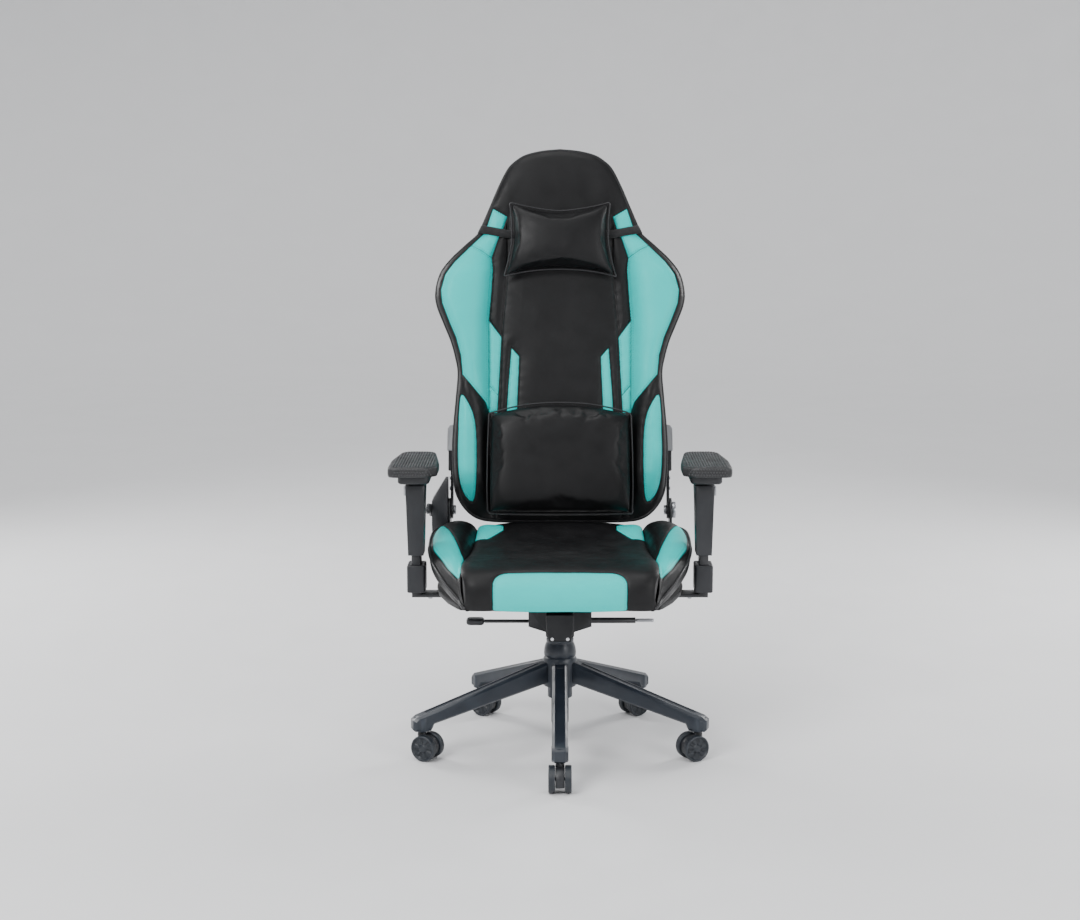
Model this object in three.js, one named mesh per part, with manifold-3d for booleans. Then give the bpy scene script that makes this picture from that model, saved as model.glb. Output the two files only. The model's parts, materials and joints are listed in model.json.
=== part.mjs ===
// Gaming chair with a five-leg caster base, gas lift, tilt mechanism, height-adjustable armrests,
// reclining bucket back, head pillow and lumbar pillow.
//
// Millimetres, +Z up. The chair faces -Y, so the sitter's left hand is on the +X side. The origin is
// on the floor under the middle of the chair's outline.
import * as THREE from 'three';
import { mergeVertices } from 'three/addons/utils/BufferGeometryUtils.js';
import Module from 'manifold-3d';

const wasm = await Module();
wasm.setup();

// ---------------------------------------------------------------------------------------------
// Driving dimensions
// ---------------------------------------------------------------------------------------------

// Fits
const GAP = 0.3; // between pieces that touch, seat on or run in each other
const COLUMN_Y = -25; // column axis from the origin, so that the outline is centred

// Casters
const WHEEL_RADIUS = 29;
const WHEEL_WIDTH = 14;
const WHEEL_FACETS = 20; // with a flat of the tread straight down
const WHEEL_DISH = 4; // depth of the dished outer face
const BODY_WIDTH = 20; // of the caster's body, between its two wheels
const AXLE_RADIUS = 3.5;
const CASTER_OFFSET = 14; // swivel axis to axle
const BODY_INSET = 4; // body's round edge inside the treads
const STEM_RADIUS = 5.5;
const STEM_LENGTH = 20; // into the leg socket

// Star base
const BASE_RADIUS = 340; // column axis to leg tip
const LEG_COUNT = 5;
const LEG_WIDTH = 34;
const LEG_BEVEL = 6;
const LEG_WALL = 5;
const GROOVE_WIDTH = 15; // shallow groove along a leg's top
const GROOVE_DEPTH = 1.5;
const STEM_INSET = 22; // leg tip to swivel axis
const TIP_HEIGHT = 33;
const BOSS_RADIUS = 18;
const TIP_CLEARANCE = 6; // leg underside above the wheels' tops
const LEG_RISE = 101; // root top above tip top
const LEG_ROOT_DEPTH = 49;
const HUB_RADIUS = 38;
const HUB_HEIGHT = 68;
const SKIRT_HEIGHT = 26; // narrow sleeve under the hub
const SKIRT_WALL = 5;

// Gas lift
const COLUMN_RADIUS = 22;
const COLUMN_FOOT_RADIUS = 19.5;
const COLUMN_FOOT_DROP = 86; // column foot under the hub's underside
const COLUMN_RISE = 42; // column top above the hub
const COVER_HEIGHT = 40;
const COVER_WALL = 3;
const PISTON_RADIUS = 14;
const PISTON_STROKE = 80;
const PISTON_HELD = 100; // length left in the tube when it is fully out

// Tilt mechanism, heights from its underside
const MECHANISM_RISE = 48; // above the hub
const SOCKET_DEPTH = 44;
const SOCKET_RADIUS = 25;
const HOUSING_HALF_WIDTH = 31;
const GUSSET_HALF_WIDTH = 70;
const GUSSET_BOTTOM = 20; // of its outer ends
const GUSSET_FRONT = -16; // just ahead of the lever rods
const HOUSING_TOP = 62;
const HOUSING_FRONT = -72;
const SHIELD_PROUD = 6; // front shield ahead of the housing
const HOUSING_REAR = 95;
const SHELF_BOTTOM = 44; // rear shelf over the tension spring
const TILT_AXIS_Y = -50;
const TILT_AXIS_Z = 78;
const TILT_SHAFT_RADIUS = 8;
const TILT_SHAFT_HALF_LENGTH = 66;
const SPRING_Y = 66;
const SPRING_RADIUS = 12;
const SPRING_WIRE = 2;
const SPRING_TURNS = 4;
const SPRING_BOTTOM = 12;
const KNOB_RADIUS = 22;
const KNOB_HEIGHT = 24;
const KNOB_BOLT_RADIUS = 5;

// Levers under the seat
const LEVER_HEIGHT = 29;
const LEVER_ROD_RADIUS = 4;
const LEVER_REACH = 168; // column axis to the start of the grip
const LEVER_ROOT_GAP = 0.3; // start of the rod outside the gusset
const GRIP_LENGTH = 40;
const GRIP_WIDTH = 30;
const GRIP_THICKNESS = 14;
const LOCK_ROD_RADIUS = 6.5;
const LOCK_ROD_START = 22;
const LOCK_HEIGHT = 31;
const LOCK_TAB_LENGTH = 41;
const LOCK_TAB_WIDTH = 16;
const LOCK_TAB_THICKNESS = 5;

// Seat, heights from the underside of its pan
const SEAT_RISE = 105; // pan underside above the mechanism's underside
const PAN_THICKNESS = 12;
const PAN_SET_BACK = 78; // pan's front edge behind the cushion's
const PLATE_THICKNESS = 6;
const PLATE_HALF_WIDTH = 110;
const FLANGE_THICKNESS = 5;
const FLANGE_X = 57;
const FLANGE_RADIUS = 12;
const SEAT_LENGTH = 450;
const SEAT_REAR = 150;
const SEAT_OVERHANG = 45; // bolsters beyond the back's waist, each side
const FRONT_SEAM_INSET = 78; // side seams of the centre panel, in from the bolsters' outer sides
const REAR_SEAM_INSET = 103;
const CREST_HEIGHT = 104; // centre panel's crest
const BOLSTER_HEIGHT = 127;

// Armrests, from the post's axis
const ARM_Y = -40;
const ARM_SEAT_CLEARANCE = 3; // sleeve to bolster
const BRACKET_THICKNESS = 8;
const BRACKET_WIDTH = 44;
const BRACKET_INNER_X = 120;
const POST_HALF_X = 10;
const POST_TOP = 199;
const COLLAR_BOTTOM = 3;
const COLLAR_TOP = 64;
const COLLAR_HALF_X = 20;
const COLLAR_HALF_Y = 30;
const SLEEVE_BOTTOM = 86;
const SLEEVE_TOP = 241;
const SLEEVE_HALF_X = 22; // at the top
const SLEEVE_HALF_Y = 32;
const SLEEVE_TAPER = 5; // narrower by this on each side at the bottom
const SLEEVE_ROOF = 16;
const BUTTON_HEIGHT = 20;
const BUTTON_WIDTH = 14;
const BUTTON_DEPTH = 9;
const BUTTON_PROUD = 4.5;
const BUTTON_TRAVEL = 3;
const PAD_BASE_HEIGHT = 30;
const SWIVEL_RADIUS = 18;
const SWIVEL_HEIGHT = 10;
const PAD_WIDTH = 106;
const PAD_LENGTH = 240;
const PAD_THICKNESS = 24;
const PAD_SET_BACK = 5; // middle of the pad behind the post
const PAD_CHAMFER = 24;

// Backrest, measured up its front face (s) and forwards from it (n)
const BACK_SEAT_CLEARANCE = 12; // seat cushion's rear face to the foot of the back's front face
const BACK_RISE = 119; // above the seat pan's underside
const BACK_LEAN = 12; // degrees
const BACK_HEIGHT = 861;
const SHELL_DEPTH = 78;
const PAD_BACK_DEPTH = 26; // the cushions' rear face behind the front face
const WAIST_HALF_WIDTH = 244; // widest at the sitter's waist
const SHOULDER_HALF_WIDTH = 284;
const SHOULDER_HEIGHT = 530;
const NOTCH_HALF_WIDTH = 184; // where the wings end and the head part begins
const NOTCH_HEIGHT = 667;
const WING_WIDTH = 81; // seam to the waist's edge
const WING_PROUD = 42;
const FRAME_TUBE_RADIUS = 9;
const FRAME_FOOT = 16; // lower ends of the steel frame
const RECLINE_S = 28;
const RECLINE_N = -38;

// Recliner
const RECLINER_CLEARANCE = 2.5; // back's side to the upper plates
const RECLINER_THICKNESS = 5.5;
const RECLINER_PIN_RADIUS = 7;
const COVER_DEPTH = 36;
const COVER_RISE = 75; // cover's tip above the recline axis
const SHROUD_THICKNESS = 11; // padding strip over an upper plate
const SPRING_COIL_RADIUS = 19;
const SPRING_COIL_WIDTH = 9;
const UPPER_PLATE_TOP = 215;
const UPPER_PLATE_HALF_WIDTH = 16;
const RECLINE_LEVER_THICKNESS = 8;

// Pillows and strap
const HEAD_PILLOW_HALF_WIDTH = 133;
const HEAD_PILLOW_DEPTH = 58;
const STRAP_WIDTH = 18;
const STRAP_THICKNESS = 2;
const LUMBAR_OVERLAP = 9; // pillow's sides over the wings' inner slopes
const LUMBAR_HEIGHT = 277;
const LUMBAR_DEPTH = 70;

// ---------------------------------------------------------------------------------------------
// Sizes that follow from them
// ---------------------------------------------------------------------------------------------

const TIP_BOTTOM = 2 * WHEEL_RADIUS + TIP_CLEARANCE;
const TIP_TOP = TIP_BOTTOM + TIP_HEIGHT;
const LEG_ROOT_TOP = TIP_TOP + LEG_RISE;
const HUB_TOP = LEG_ROOT_TOP + 10;
const HUB_BOTTOM = HUB_TOP - HUB_HEIGHT;
const STEM_REACH = BASE_RADIUS - STEM_INSET;
const HUB_BORE = COLUMN_RADIUS + GAP;
const COLUMN_TOP = HUB_TOP + COLUMN_RISE;
const MECHANISM_Z = HUB_TOP + MECHANISM_RISE;
const SEAT_Z = MECHANISM_Z + SEAT_RISE;
const BACK_Y = SEAT_REAR + BACK_SEAT_CLEARANCE;
const BACK_Z = SEAT_Z + BACK_RISE;
const SEAT_FRONT = SEAT_REAR - SEAT_LENGTH;
const SEAT_HALF_WIDTH = WAIST_HALF_WIDTH + SEAT_OVERHANG;
const CENTRE_FRONT_HALF_WIDTH = SEAT_HALF_WIDTH - FRONT_SEAM_INSET;
const CENTRE_REAR_HALF_WIDTH = SEAT_HALF_WIDTH - REAR_SEAM_INSET;
const ARM_X = SEAT_HALF_WIDTH + ARM_SEAT_CLEARANCE + SLEEVE_HALF_X;
const WING_SEAM = WAIST_HALF_WIDTH - WING_WIDTH;
const STRAP_HALF_WIDTH = NOTCH_HALF_WIDTH + 1 + STRAP_THICKNESS;
const LUMBAR_HALF_WIDTH = WING_SEAM + LUMBAR_OVERLAP;
const RECLINER_X = WAIST_HALF_WIDTH + RECLINER_CLEARANCE; // inner face of the upper plates
const CUSHION_BOTTOM = PAN_THICKNESS + GAP;
const LEAN = THREE.MathUtils.degToRad(BACK_LEAN);
const RECLINE_Y = BACK_Y + RECLINE_S * Math.sin(LEAN) - RECLINE_N * Math.cos(LEAN);
const RECLINE_Z = BACK_RISE + RECLINE_S * Math.cos(LEAN) + RECLINE_N * Math.sin(LEAN);
const LOWER_PLATE_X = RECLINER_X + RECLINER_THICKNESS + GAP;
const RECLINER_COVER_X = LOWER_PLATE_X + RECLINER_THICKNESS + GAP;
const PAD_BASE_TOP = SLEEVE_TOP + PAD_BASE_HEIGHT;

// ---------------------------------------------------------------------------------------------
// Materials
// ---------------------------------------------------------------------------------------------

function finish(color, roughness, metalness = 0) {
  return new THREE.MeshStandardMaterial({ color, roughness, metalness });
}

const BLACK_NYLON = finish(0x14171c, 0.45);
const SATIN_BASE = finish(0x1a212b, 0.4, 0.2);
const BLACK_PAINT = finish(0x15171a, 0.4, 0.3);
const BLACK_LEATHER = finish(0x0e0e10, 0.5);
const TURQUOISE_LEATHER = finish(0x1cdcd6, 0.45);
const CHROME = finish(0xc9ccd0, 0.15, 1);
const STEEL = finish(0x8d9298, 0.35, 0.9);
const SOFT_PAD = finish(0x191a1d, 0.7);
const WEBBING = finish(0x101113, 0.85);

// ---------------------------------------------------------------------------------------------
// Geometry helpers
// ---------------------------------------------------------------------------------------------

/** The closed surface alone, with its shared vertices merged. */
function welded(geometry) {
  const bare = geometry.clone();
  bare.deleteAttribute('normal');
  bare.deleteAttribute('uv');
  return mergeVertices(bare, 1e-4);
}

function toManifold(geometry) {
  const closed = welded(geometry);
  return new wasm.Manifold(new wasm.Mesh({
    numProp: 3,
    vertProperties: new Float32Array(closed.attributes.position.array),
    triVerts: new Uint32Array(closed.index.array),
  }));
}

function toGeometry(manifold) {
  const mesh = manifold.getMesh();
  const geometry = new THREE.BufferGeometry();
  geometry.setAttribute('position', new THREE.BufferAttribute(mesh.vertProperties, 3));
  geometry.setIndex(new THREE.BufferAttribute(mesh.triVerts, 1));
  return geometry;
}

/** One solid from the first geometry, the others joined to it. */
function joined(first, ...others) {
  return toGeometry(others.reduce((sum, other) => sum.add(toManifold(other)), toManifold(first)));
}

/** The first geometry with the others cut out of it. */
function cut(first, ...others) {
  return toGeometry(others.reduce((rest, other) => rest.subtract(toManifold(other)), toManifold(first)));
}

/** What all the geometries share. */
function common(first, ...others) {
  return toGeometry(others.reduce((rest, other) => rest.intersect(toManifold(other)), toManifold(first)));
}

function extruded(outline, depth, bevel = 0) {
  const shape = new THREE.Shape(outline.map(([a, b]) => new THREE.Vector2(a, b)));
  if (!bevel) return new THREE.ExtrudeGeometry(shape, { depth, bevelEnabled: false });
  const geometry = new THREE.ExtrudeGeometry(shape, {
    depth: depth - 2 * bevel,
    bevelThickness: bevel,
    bevelSize: bevel,
    bevelOffset: -bevel,
    bevelSegments: 1,
  });
  return geometry.translate(0, 0, bevel);
}

/** An outline of [x, y] points between two heights. */
function slabZ(outline, z0, z1, bevel) {
  return extruded(outline, z1 - z0, bevel).translate(0, 0, z0);
}

/** An outline of [x, z] points between two values of y. */
function slabY(outline, y0, y1, bevel) {
  return extruded(outline, y1 - y0, bevel).rotateX(Math.PI / 2).translate(0, y1, 0);
}

/** An outline of [y, z] points between two values of x. */
function slabX(outline, x0, x1, bevel) {
  const turn = new THREE.Matrix4().set(0, 0, 1, 0, 1, 0, 0, 0, 0, 1, 0, 0, 0, 0, 0, 1);
  return extruded(outline, x1 - x0, bevel).applyMatrix4(turn).translate(x0, 0, 0);
}

/** A block between two corners. */
function block(x0, x1, y0, y1, z0, z1) {
  const box = new THREE.BoxGeometry(x1 - x0, y1 - y0, z1 - z0);
  return box.translate((x0 + x1) / 2, (y0 + y1) / 2, (z0 + z1) / 2);
}

/** A profile of [radius, height] points turned about Z; it starts and ends on the axis or closes. */
function turned(profile, segments) {
  const points = profile.map(([r, z]) => new THREE.Vector2(r, z));
  return new THREE.LatheGeometry(points, segments).rotateX(Math.PI / 2);
}

/** A plain round bar along Z. */
function bar(radius, z0, z1, segments = 16) {
  return turned([[0, z0], [radius, z0], [radius, z1], [0, z1]], segments);
}

/** A bar along Z turned to lie along X, at the given y and z. */
function barX(radius, x0, x1, y, z, segments = 16) {
  return bar(radius, x0, x1, segments).rotateY(Math.PI / 2).translate(0, y, z);
}

/** Points of an arc, in degrees, both ends included. */
function arc(cx, cy, radius, from, to, steps) {
  return Array.from({ length: steps + 1 }, (_, i) => {
    const angle = THREE.MathUtils.degToRad(from + ((to - from) * i) / steps);
    return [cx + radius * Math.cos(angle), cy + radius * Math.sin(angle)];
  });
}

/** A rectangle with round corners. */
function roundedRectangle(x0, x1, y0, y1, radius, steps = 3) {
  return [
    ...arc(x1 - radius, y0 + radius, radius, -90, 0, steps),
    ...arc(x1 - radius, y1 - radius, radius, 0, 90, steps),
    ...arc(x0 + radius, y1 - radius, radius, 90, 180, steps),
    ...arc(x0 + radius, y0 + radius, radius, 180, 270, steps),
  ];
}

/** A right half outline, listed upwards, closed with its mirror image. */
function mirroredOutline(half) {
  const other = half.filter(([x]) => x > 0).map(([x, y]) => [-x, y]).reverse();
  return [...half, ...other];
}

/** A piece drawn for the +X side, or its mirror image for the -X side. */
function onSide(geometry, side) {
  const closed = welded(geometry);
  if (side > 0) return closed;
  closed.scale(-1, 1, 1);
  const corners = closed.index.array;
  for (let i = 0; i < corners.length; i += 3) {
    [corners[i + 1], corners[i + 2]] = [corners[i + 2], corners[i + 1]];
  }
  return closed;
}

function add(parent, name, geometry, material) {
  const mesh = new THREE.Mesh(welded(geometry), material);
  mesh.name = name;
  parent.add(mesh);
  return mesh;
}

function groupAt(parent, x, y, z) {
  const group = new THREE.Group();
  group.position.set(x, y, z);
  parent.add(group);
  return group;
}

const SIDES = [['left', 1], ['right', -1]]; // the sitter's left is +X

// ---------------------------------------------------------------------------------------------
// Star base and casters
// ---------------------------------------------------------------------------------------------

function legAngle(index) {
  return -Math.PI / 2 + (2 * Math.PI * index) / LEG_COUNT;
}

function starBase() {
  const hub = turned([
    [0, HUB_BOTTOM - SKIRT_HEIGHT],
    [HUB_BORE + SKIRT_WALL, HUB_BOTTOM - SKIRT_HEIGHT],
    [HUB_BORE + SKIRT_WALL, HUB_BOTTOM - 2],
    [HUB_RADIUS - 2, HUB_BOTTOM],
    [HUB_RADIUS, HUB_BOTTOM + 8],
    [HUB_RADIUS, HUB_TOP - 8],
    [HUB_RADIUS - 4, HUB_TOP],
    [0, HUB_TOP],
  ], 24);
  const root = HUB_BORE + 8;
  const toeHeight = TIP_TOP - 4;
  const legProfile = [
    [root, LEG_ROOT_TOP], [BASE_RADIUS - 10, TIP_TOP], [BASE_RADIUS, toeHeight - 4],
    [BASE_RADIUS, TIP_BOTTOM + 4], [BASE_RADIUS - 5, TIP_BOTTOM],
    [STEM_REACH - BOSS_RADIUS, TIP_BOTTOM], [STEM_REACH - BOSS_RADIUS - 8, TIP_BOTTOM + 14],
    [root, LEG_ROOT_TOP - LEG_ROOT_DEPTH],
  ];
  const channelEnd = STEM_REACH - BOSS_RADIUS - LEG_WALL;
  const channelProfile = [
    [HUB_RADIUS + LEG_WALL, LEG_ROOT_TOP - 2.5 * LEG_WALL], [channelEnd, TIP_TOP - LEG_WALL],
    [channelEnd, 0], [HUB_RADIUS + LEG_WALL, 0],
  ];
  const slope = (TIP_TOP - LEG_ROOT_TOP) / (BASE_RADIUS - 10 - root);
  const legTop = (r) => LEG_ROOT_TOP + slope * (r - root);
  const grooveStart = HUB_RADIUS + 12;
  const grooveEnd = STEM_REACH - 8;
  const grooveProfile = [
    [grooveStart, legTop(grooveStart) - GROOVE_DEPTH], [grooveEnd, legTop(grooveEnd) - GROOVE_DEPTH],
    [grooveEnd, legTop(grooveEnd) + 10], [grooveStart, legTop(grooveStart) + 10],
  ];
  const halfChannel = LEG_WIDTH / 2 - LEG_WALL;
  const legs = [];
  const hollows = [];
  for (let i = 0; i < LEG_COUNT; i += 1) {
    const angle = legAngle(i);
    const boss = bar(BOSS_RADIUS, TIP_BOTTOM, TIP_TOP - 3, 20).translate(STEM_REACH, 0, 0);
    const socket = bar(STEM_RADIUS + GAP, 0, TIP_BOTTOM + STEM_LENGTH + 1, 16).translate(STEM_REACH, 0, 0);
    legs.push(slabY(legProfile, -LEG_WIDTH / 2, LEG_WIDTH / 2, LEG_BEVEL).rotateZ(angle));
    legs.push(boss.rotateZ(angle));
    hollows.push(slabY(channelProfile, -halfChannel, halfChannel).rotateZ(angle));
    hollows.push(socket.rotateZ(angle));
    hollows.push(slabY(grooveProfile, -GROOVE_WIDTH / 2, GROOVE_WIDTH / 2).rotateZ(angle));
  }
  const bore = bar(HUB_BORE, 0, HUB_TOP + 10, 24);
  return cut(joined(hub, ...legs), ...hollows, bore);
}

// A caster's own frame has its swivel axis at the origin, its axle along Y and its axle's middle
// on +X, so a heading is the direction from the swivel axis to the axle.
function casterHousing() {
  const halfWidth = BODY_WIDTH / 2 + GAP + WHEEL_WIDTH;
  const round = arc(CASTER_OFFSET, WHEEL_RADIUS, WHEEL_RADIUS - BODY_INSET, -30, 210, 14);
  const body = slabY(round, -BODY_WIDTH / 2, BODY_WIDTH / 2, 2);
  const shoulder = STEM_RADIUS + 4;
  const neck = bar(shoulder, WHEEL_RADIUS, TIP_BOTTOM - GAP, 16);
  const stem = bar(STEM_RADIUS, 2 * WHEEL_RADIUS, TIP_BOTTOM + STEM_LENGTH, 16);
  const axle = bar(AXLE_RADIUS, 2 - halfWidth, halfWidth - 2, 12).rotateX(Math.PI / 2);
  return joined(body, neck, stem, axle.translate(CASTER_OFFSET, 0, WHEEL_RADIUS));
}

/** A wheel about Y, its inner face at y = 0 and its dished outer face towards +Y. */
function casterWheel() {
  const treadRadius = WHEEL_RADIUS / Math.cos(Math.PI / WHEEL_FACETS);
  const bore = AXLE_RADIUS + GAP;
  const profile = [
    [bore, 0], [treadRadius - 2, 0], [treadRadius, 2], [treadRadius, WHEEL_WIDTH - 2.5],
    [treadRadius - 3, WHEEL_WIDTH], [treadRadius - 6, WHEEL_WIDTH],
    [treadRadius - 9, WHEEL_WIDTH - WHEEL_DISH], [bore, WHEEL_WIDTH - WHEEL_DISH], [bore, 0],
  ];
  const points = profile.map(([r, y]) => new THREE.Vector2(r, y));
  return new THREE.LatheGeometry(points, WHEEL_FACETS, Math.PI / WHEEL_FACETS);
}

// Heading of each caster in degrees, leg by leg, from the front leg round through +X.
const CASTER_HEADINGS = [-90, -153, -145, -35, -27];

function addCaster(base, index) {
  const angle = legAngle(index);
  const caster = groupAt(base, STEM_REACH * Math.cos(angle), STEM_REACH * Math.sin(angle), 0);
  caster.rotation.z = THREE.MathUtils.degToRad(CASTER_HEADINGS[index]);
  add(caster, `caster_housing_${index + 1}`, casterHousing(), BLACK_NYLON);
  for (const [sideName, side] of SIDES) {
    const wheel = add(caster, `caster_wheel_${index + 1}_${sideName}`, casterWheel(), BLACK_NYLON);
    wheel.position.set(CASTER_OFFSET, side * (BODY_WIDTH / 2 + GAP), WHEEL_RADIUS);
    if (side < 0) wheel.rotation.z = Math.PI;
  }
}

// ---------------------------------------------------------------------------------------------
// Gas lift
// ---------------------------------------------------------------------------------------------

function gasTube() {
  const foot = HUB_BOTTOM - COLUMN_FOOT_DROP;
  const shoulder = HUB_BOTTOM - SKIRT_HEIGHT;
  const bore = PISTON_RADIUS + GAP;
  return turned([
    [0, foot], [COLUMN_FOOT_RADIUS, foot], [COLUMN_FOOT_RADIUS, shoulder],
    [COLUMN_RADIUS, shoulder + 4], [COLUMN_RADIUS, COLUMN_TOP], [bore, COLUMN_TOP],
    [bore, foot + 8], [0, foot + 8],
  ], 24);
}

function dustCover() {
  const inner = COLUMN_RADIUS + GAP;
  const bottom = HUB_TOP + GAP;
  const top = HUB_TOP + COVER_HEIGHT;
  return turned([
    [inner, bottom], [HUB_RADIUS, bottom], [HUB_RADIUS, top - 32], [HUB_RADIUS - 2, top - 22],
    [HUB_RADIUS - 6, top - 11], [inner + COVER_WALL + 2, top - 3], [inner + COVER_WALL, top],
    [inner, top], [inner, bottom],
  ], 24);
}

function gasPiston() {
  const bottom = COLUMN_TOP - PISTON_STROKE - PISTON_HELD;
  return bar(PISTON_RADIUS, bottom, MECHANISM_Z + SOCKET_DEPTH - GAP, 24);
}

// ---------------------------------------------------------------------------------------------
// Tilt mechanism and its levers
// ---------------------------------------------------------------------------------------------

function tiltHousing() {
  const socket = turned([
    [0, SOCKET_DEPTH], [PISTON_RADIUS + GAP, SOCKET_DEPTH], [PISTON_RADIUS + GAP, 0],
    [SOCKET_RADIUS, 0], [SOCKET_RADIUS + 3, 20], [HOUSING_HALF_WIDTH, HOUSING_TOP - 4],
    [HOUSING_HALF_WIDTH, HOUSING_TOP], [0, HOUSING_TOP],
  ], 24);
  const front = mirroredOutline([
    [SOCKET_RADIUS + 1, 4], [HOUSING_HALF_WIDTH + 2, 8], [GUSSET_HALF_WIDTH, GUSSET_BOTTOM],
    [GUSSET_HALF_WIDTH, HOUSING_TOP],
  ]);
  const middle = mirroredOutline([
    [SOCKET_RADIUS + 1, 4], [HOUSING_HALF_WIDTH, 8], [HOUSING_HALF_WIDTH, HOUSING_TOP],
  ]);
  const shieldOutline = mirroredOutline([
    [SOCKET_RADIUS - 1, 1], [HOUSING_HALF_WIDTH - 2, 24], [HOUSING_HALF_WIDTH, HOUSING_TOP],
  ]);
  const shield = slabY(shieldOutline, HOUSING_FRONT - SHIELD_PROUD, 0, 2);
  const side = [
    [HOUSING_FRONT, 18], [HOUSING_FRONT + 20, 4], [38, 4], [38, SHELF_BOTTOM],
    [HOUSING_REAR, SHELF_BOTTOM], [HOUSING_REAR, HOUSING_TOP], [HOUSING_FRONT, HOUSING_TOP],
  ];
  const pan = common(
    joined(slabY(front, GUSSET_FRONT, HOUSING_REAR), slabY(middle, HOUSING_FRONT, HOUSING_REAR)),
    slabX(side, -GUSSET_HALF_WIDTH - 1, GUSSET_HALF_WIDTH + 1),
  );
  const pedestal = block(
    -HOUSING_HALF_WIDTH + 1, HOUSING_HALF_WIDTH - 1,
    TILT_AXIS_Y - 13, TILT_AXIS_Y + 13, HOUSING_TOP - 2, TILT_AXIS_Z + 6,
  );
  const shaft = barX(
    TILT_SHAFT_RADIUS, -TILT_SHAFT_HALF_LENGTH, TILT_SHAFT_HALF_LENGTH, TILT_AXIS_Y, TILT_AXIS_Z, 20,
  );
  const pistonBore = bar(PISTON_RADIUS + GAP, -1, SOCKET_DEPTH, 24);
  const lockBore = barX(
    LOCK_ROD_RADIUS + GAP, LOCK_ROD_START - 2, GUSSET_HALF_WIDTH + 5, 0, LOCK_HEIGHT, 16,
  );
  return cut(joined(socket, pan, shield, pedestal, shaft), pistonBore, lockBore);
}

function tiltSpring() {
  const rise = SHELF_BOTTOM - SPRING_BOTTOM - 2 * SPRING_WIRE - 2 * GAP;
  const points = Array.from({ length: SPRING_TURNS * 10 + 1 }, (_, i) => {
    const angle = (i * Math.PI) / 5;
    return new THREE.Vector3(
      SPRING_RADIUS * Math.cos(angle),
      SPRING_Y + SPRING_RADIUS * Math.sin(angle),
      SPRING_BOTTOM + SPRING_WIRE + GAP + (rise * i) / (SPRING_TURNS * 10),
    );
  });
  const wire = new THREE.Shape(arc(0, 0, SPRING_WIRE, 0, 300, 5).map(([a, b]) => new THREE.Vector2(a, b)));
  return new THREE.ExtrudeGeometry(wire, {
    steps: SPRING_TURNS * 10,
    bevelEnabled: false,
    extrudePath: new THREE.CatmullRomCurve3(points),
  });
}

function tensionKnob() {
  const top = SPRING_BOTTOM - GAP;
  const bottom = top - KNOB_HEIGHT;
  const knob = turned([
    [0, bottom], [KNOB_RADIUS - 5, bottom], [KNOB_RADIUS, bottom + 5], [KNOB_RADIUS, top - 3],
    [KNOB_RADIUS - 3, top], [KNOB_BOLT_RADIUS, top], [KNOB_BOLT_RADIUS, SHELF_BOTTOM - 2],
    [0, SHELF_BOTTOM - 2],
  ], 20);
  return knob.translate(0, SPRING_Y, 0);
}

function addMechanism(chair) {
  const mechanism = groupAt(chair, 0, 0, MECHANISM_Z);
  add(mechanism, 'tilt_housing', tiltHousing(), BLACK_PAINT);
  add(mechanism, 'tilt_spring', tiltSpring(), STEEL);
  add(mechanism, 'tension_knob', tensionKnob(), BLACK_NYLON);

  const heightRod = barX(
    LEVER_ROD_RADIUS, -LEVER_REACH, -GUSSET_HALF_WIDTH - LEVER_ROOT_GAP, 0, LEVER_HEIGHT,
  );
  add(mechanism, 'height_lever', heightRod, BLACK_PAINT);
  const paddle = roundedRectangle(
    -LEVER_REACH - GRIP_LENGTH, -LEVER_REACH - GAP, -GRIP_WIDTH / 2, GRIP_WIDTH / 2, 9,
  );
  const paddleBottom = LEVER_HEIGHT - GRIP_THICKNESS / 2;
  const paddleSolid = slabZ(paddle, paddleBottom, paddleBottom + GRIP_THICKNESS, 3);
  add(mechanism, 'height_lever_grip', paddleSolid, BLACK_NYLON);

  const lockRod = barX(LOCK_ROD_RADIUS, LOCK_ROD_START, LEVER_REACH, 0, LOCK_HEIGHT);
  add(mechanism, 'lock_lever', lockRod, BLACK_PAINT);
  const tab = roundedRectangle(
    LEVER_REACH + GAP, LEVER_REACH + LOCK_TAB_LENGTH, -LOCK_TAB_WIDTH / 2, LOCK_TAB_WIDTH / 2, 5,
  );
  const tabBottom = LOCK_HEIGHT - LOCK_TAB_THICKNESS / 2;
  add(mechanism, 'lock_lever_grip', slabZ(tab, tabBottom, tabBottom + LOCK_TAB_THICKNESS), CHROME);
}

// ---------------------------------------------------------------------------------------------
// Seat
// ---------------------------------------------------------------------------------------------

function seatPlate() {
  const underside = -GAP - PLATE_THICKNESS;
  const axisZ = TILT_AXIS_Z - SEAT_RISE;
  const plate = block(-PLATE_HALF_WIDTH, PLATE_HALF_WIDTH, -110, 125, underside, -GAP);
  const flangeOutline = [
    [TILT_AXIS_Y + FLANGE_RADIUS, underside + 1], [TILT_AXIS_Y - FLANGE_RADIUS, underside + 1],
    ...arc(TILT_AXIS_Y, axisZ, FLANGE_RADIUS, 180, 360, 8),
  ];
  const flanges = SIDES.map(([, side]) => onSide(
    slabX(flangeOutline, FLANGE_X, FLANGE_X + FLANGE_THICKNESS), side,
  ));
  const shaftHole = barX(
    TILT_SHAFT_RADIUS + GAP, -PLATE_HALF_WIDTH, PLATE_HALF_WIDTH, TILT_AXIS_Y, axisZ, 20,
  );
  return cut(joined(plate, ...flanges), shaftHole);
}

/** A place along the seat: 0 at the front edge, 1 at the rear. */
function alongSeat(share) {
  return SEAT_FRONT + share * SEAT_LENGTH;
}

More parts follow.
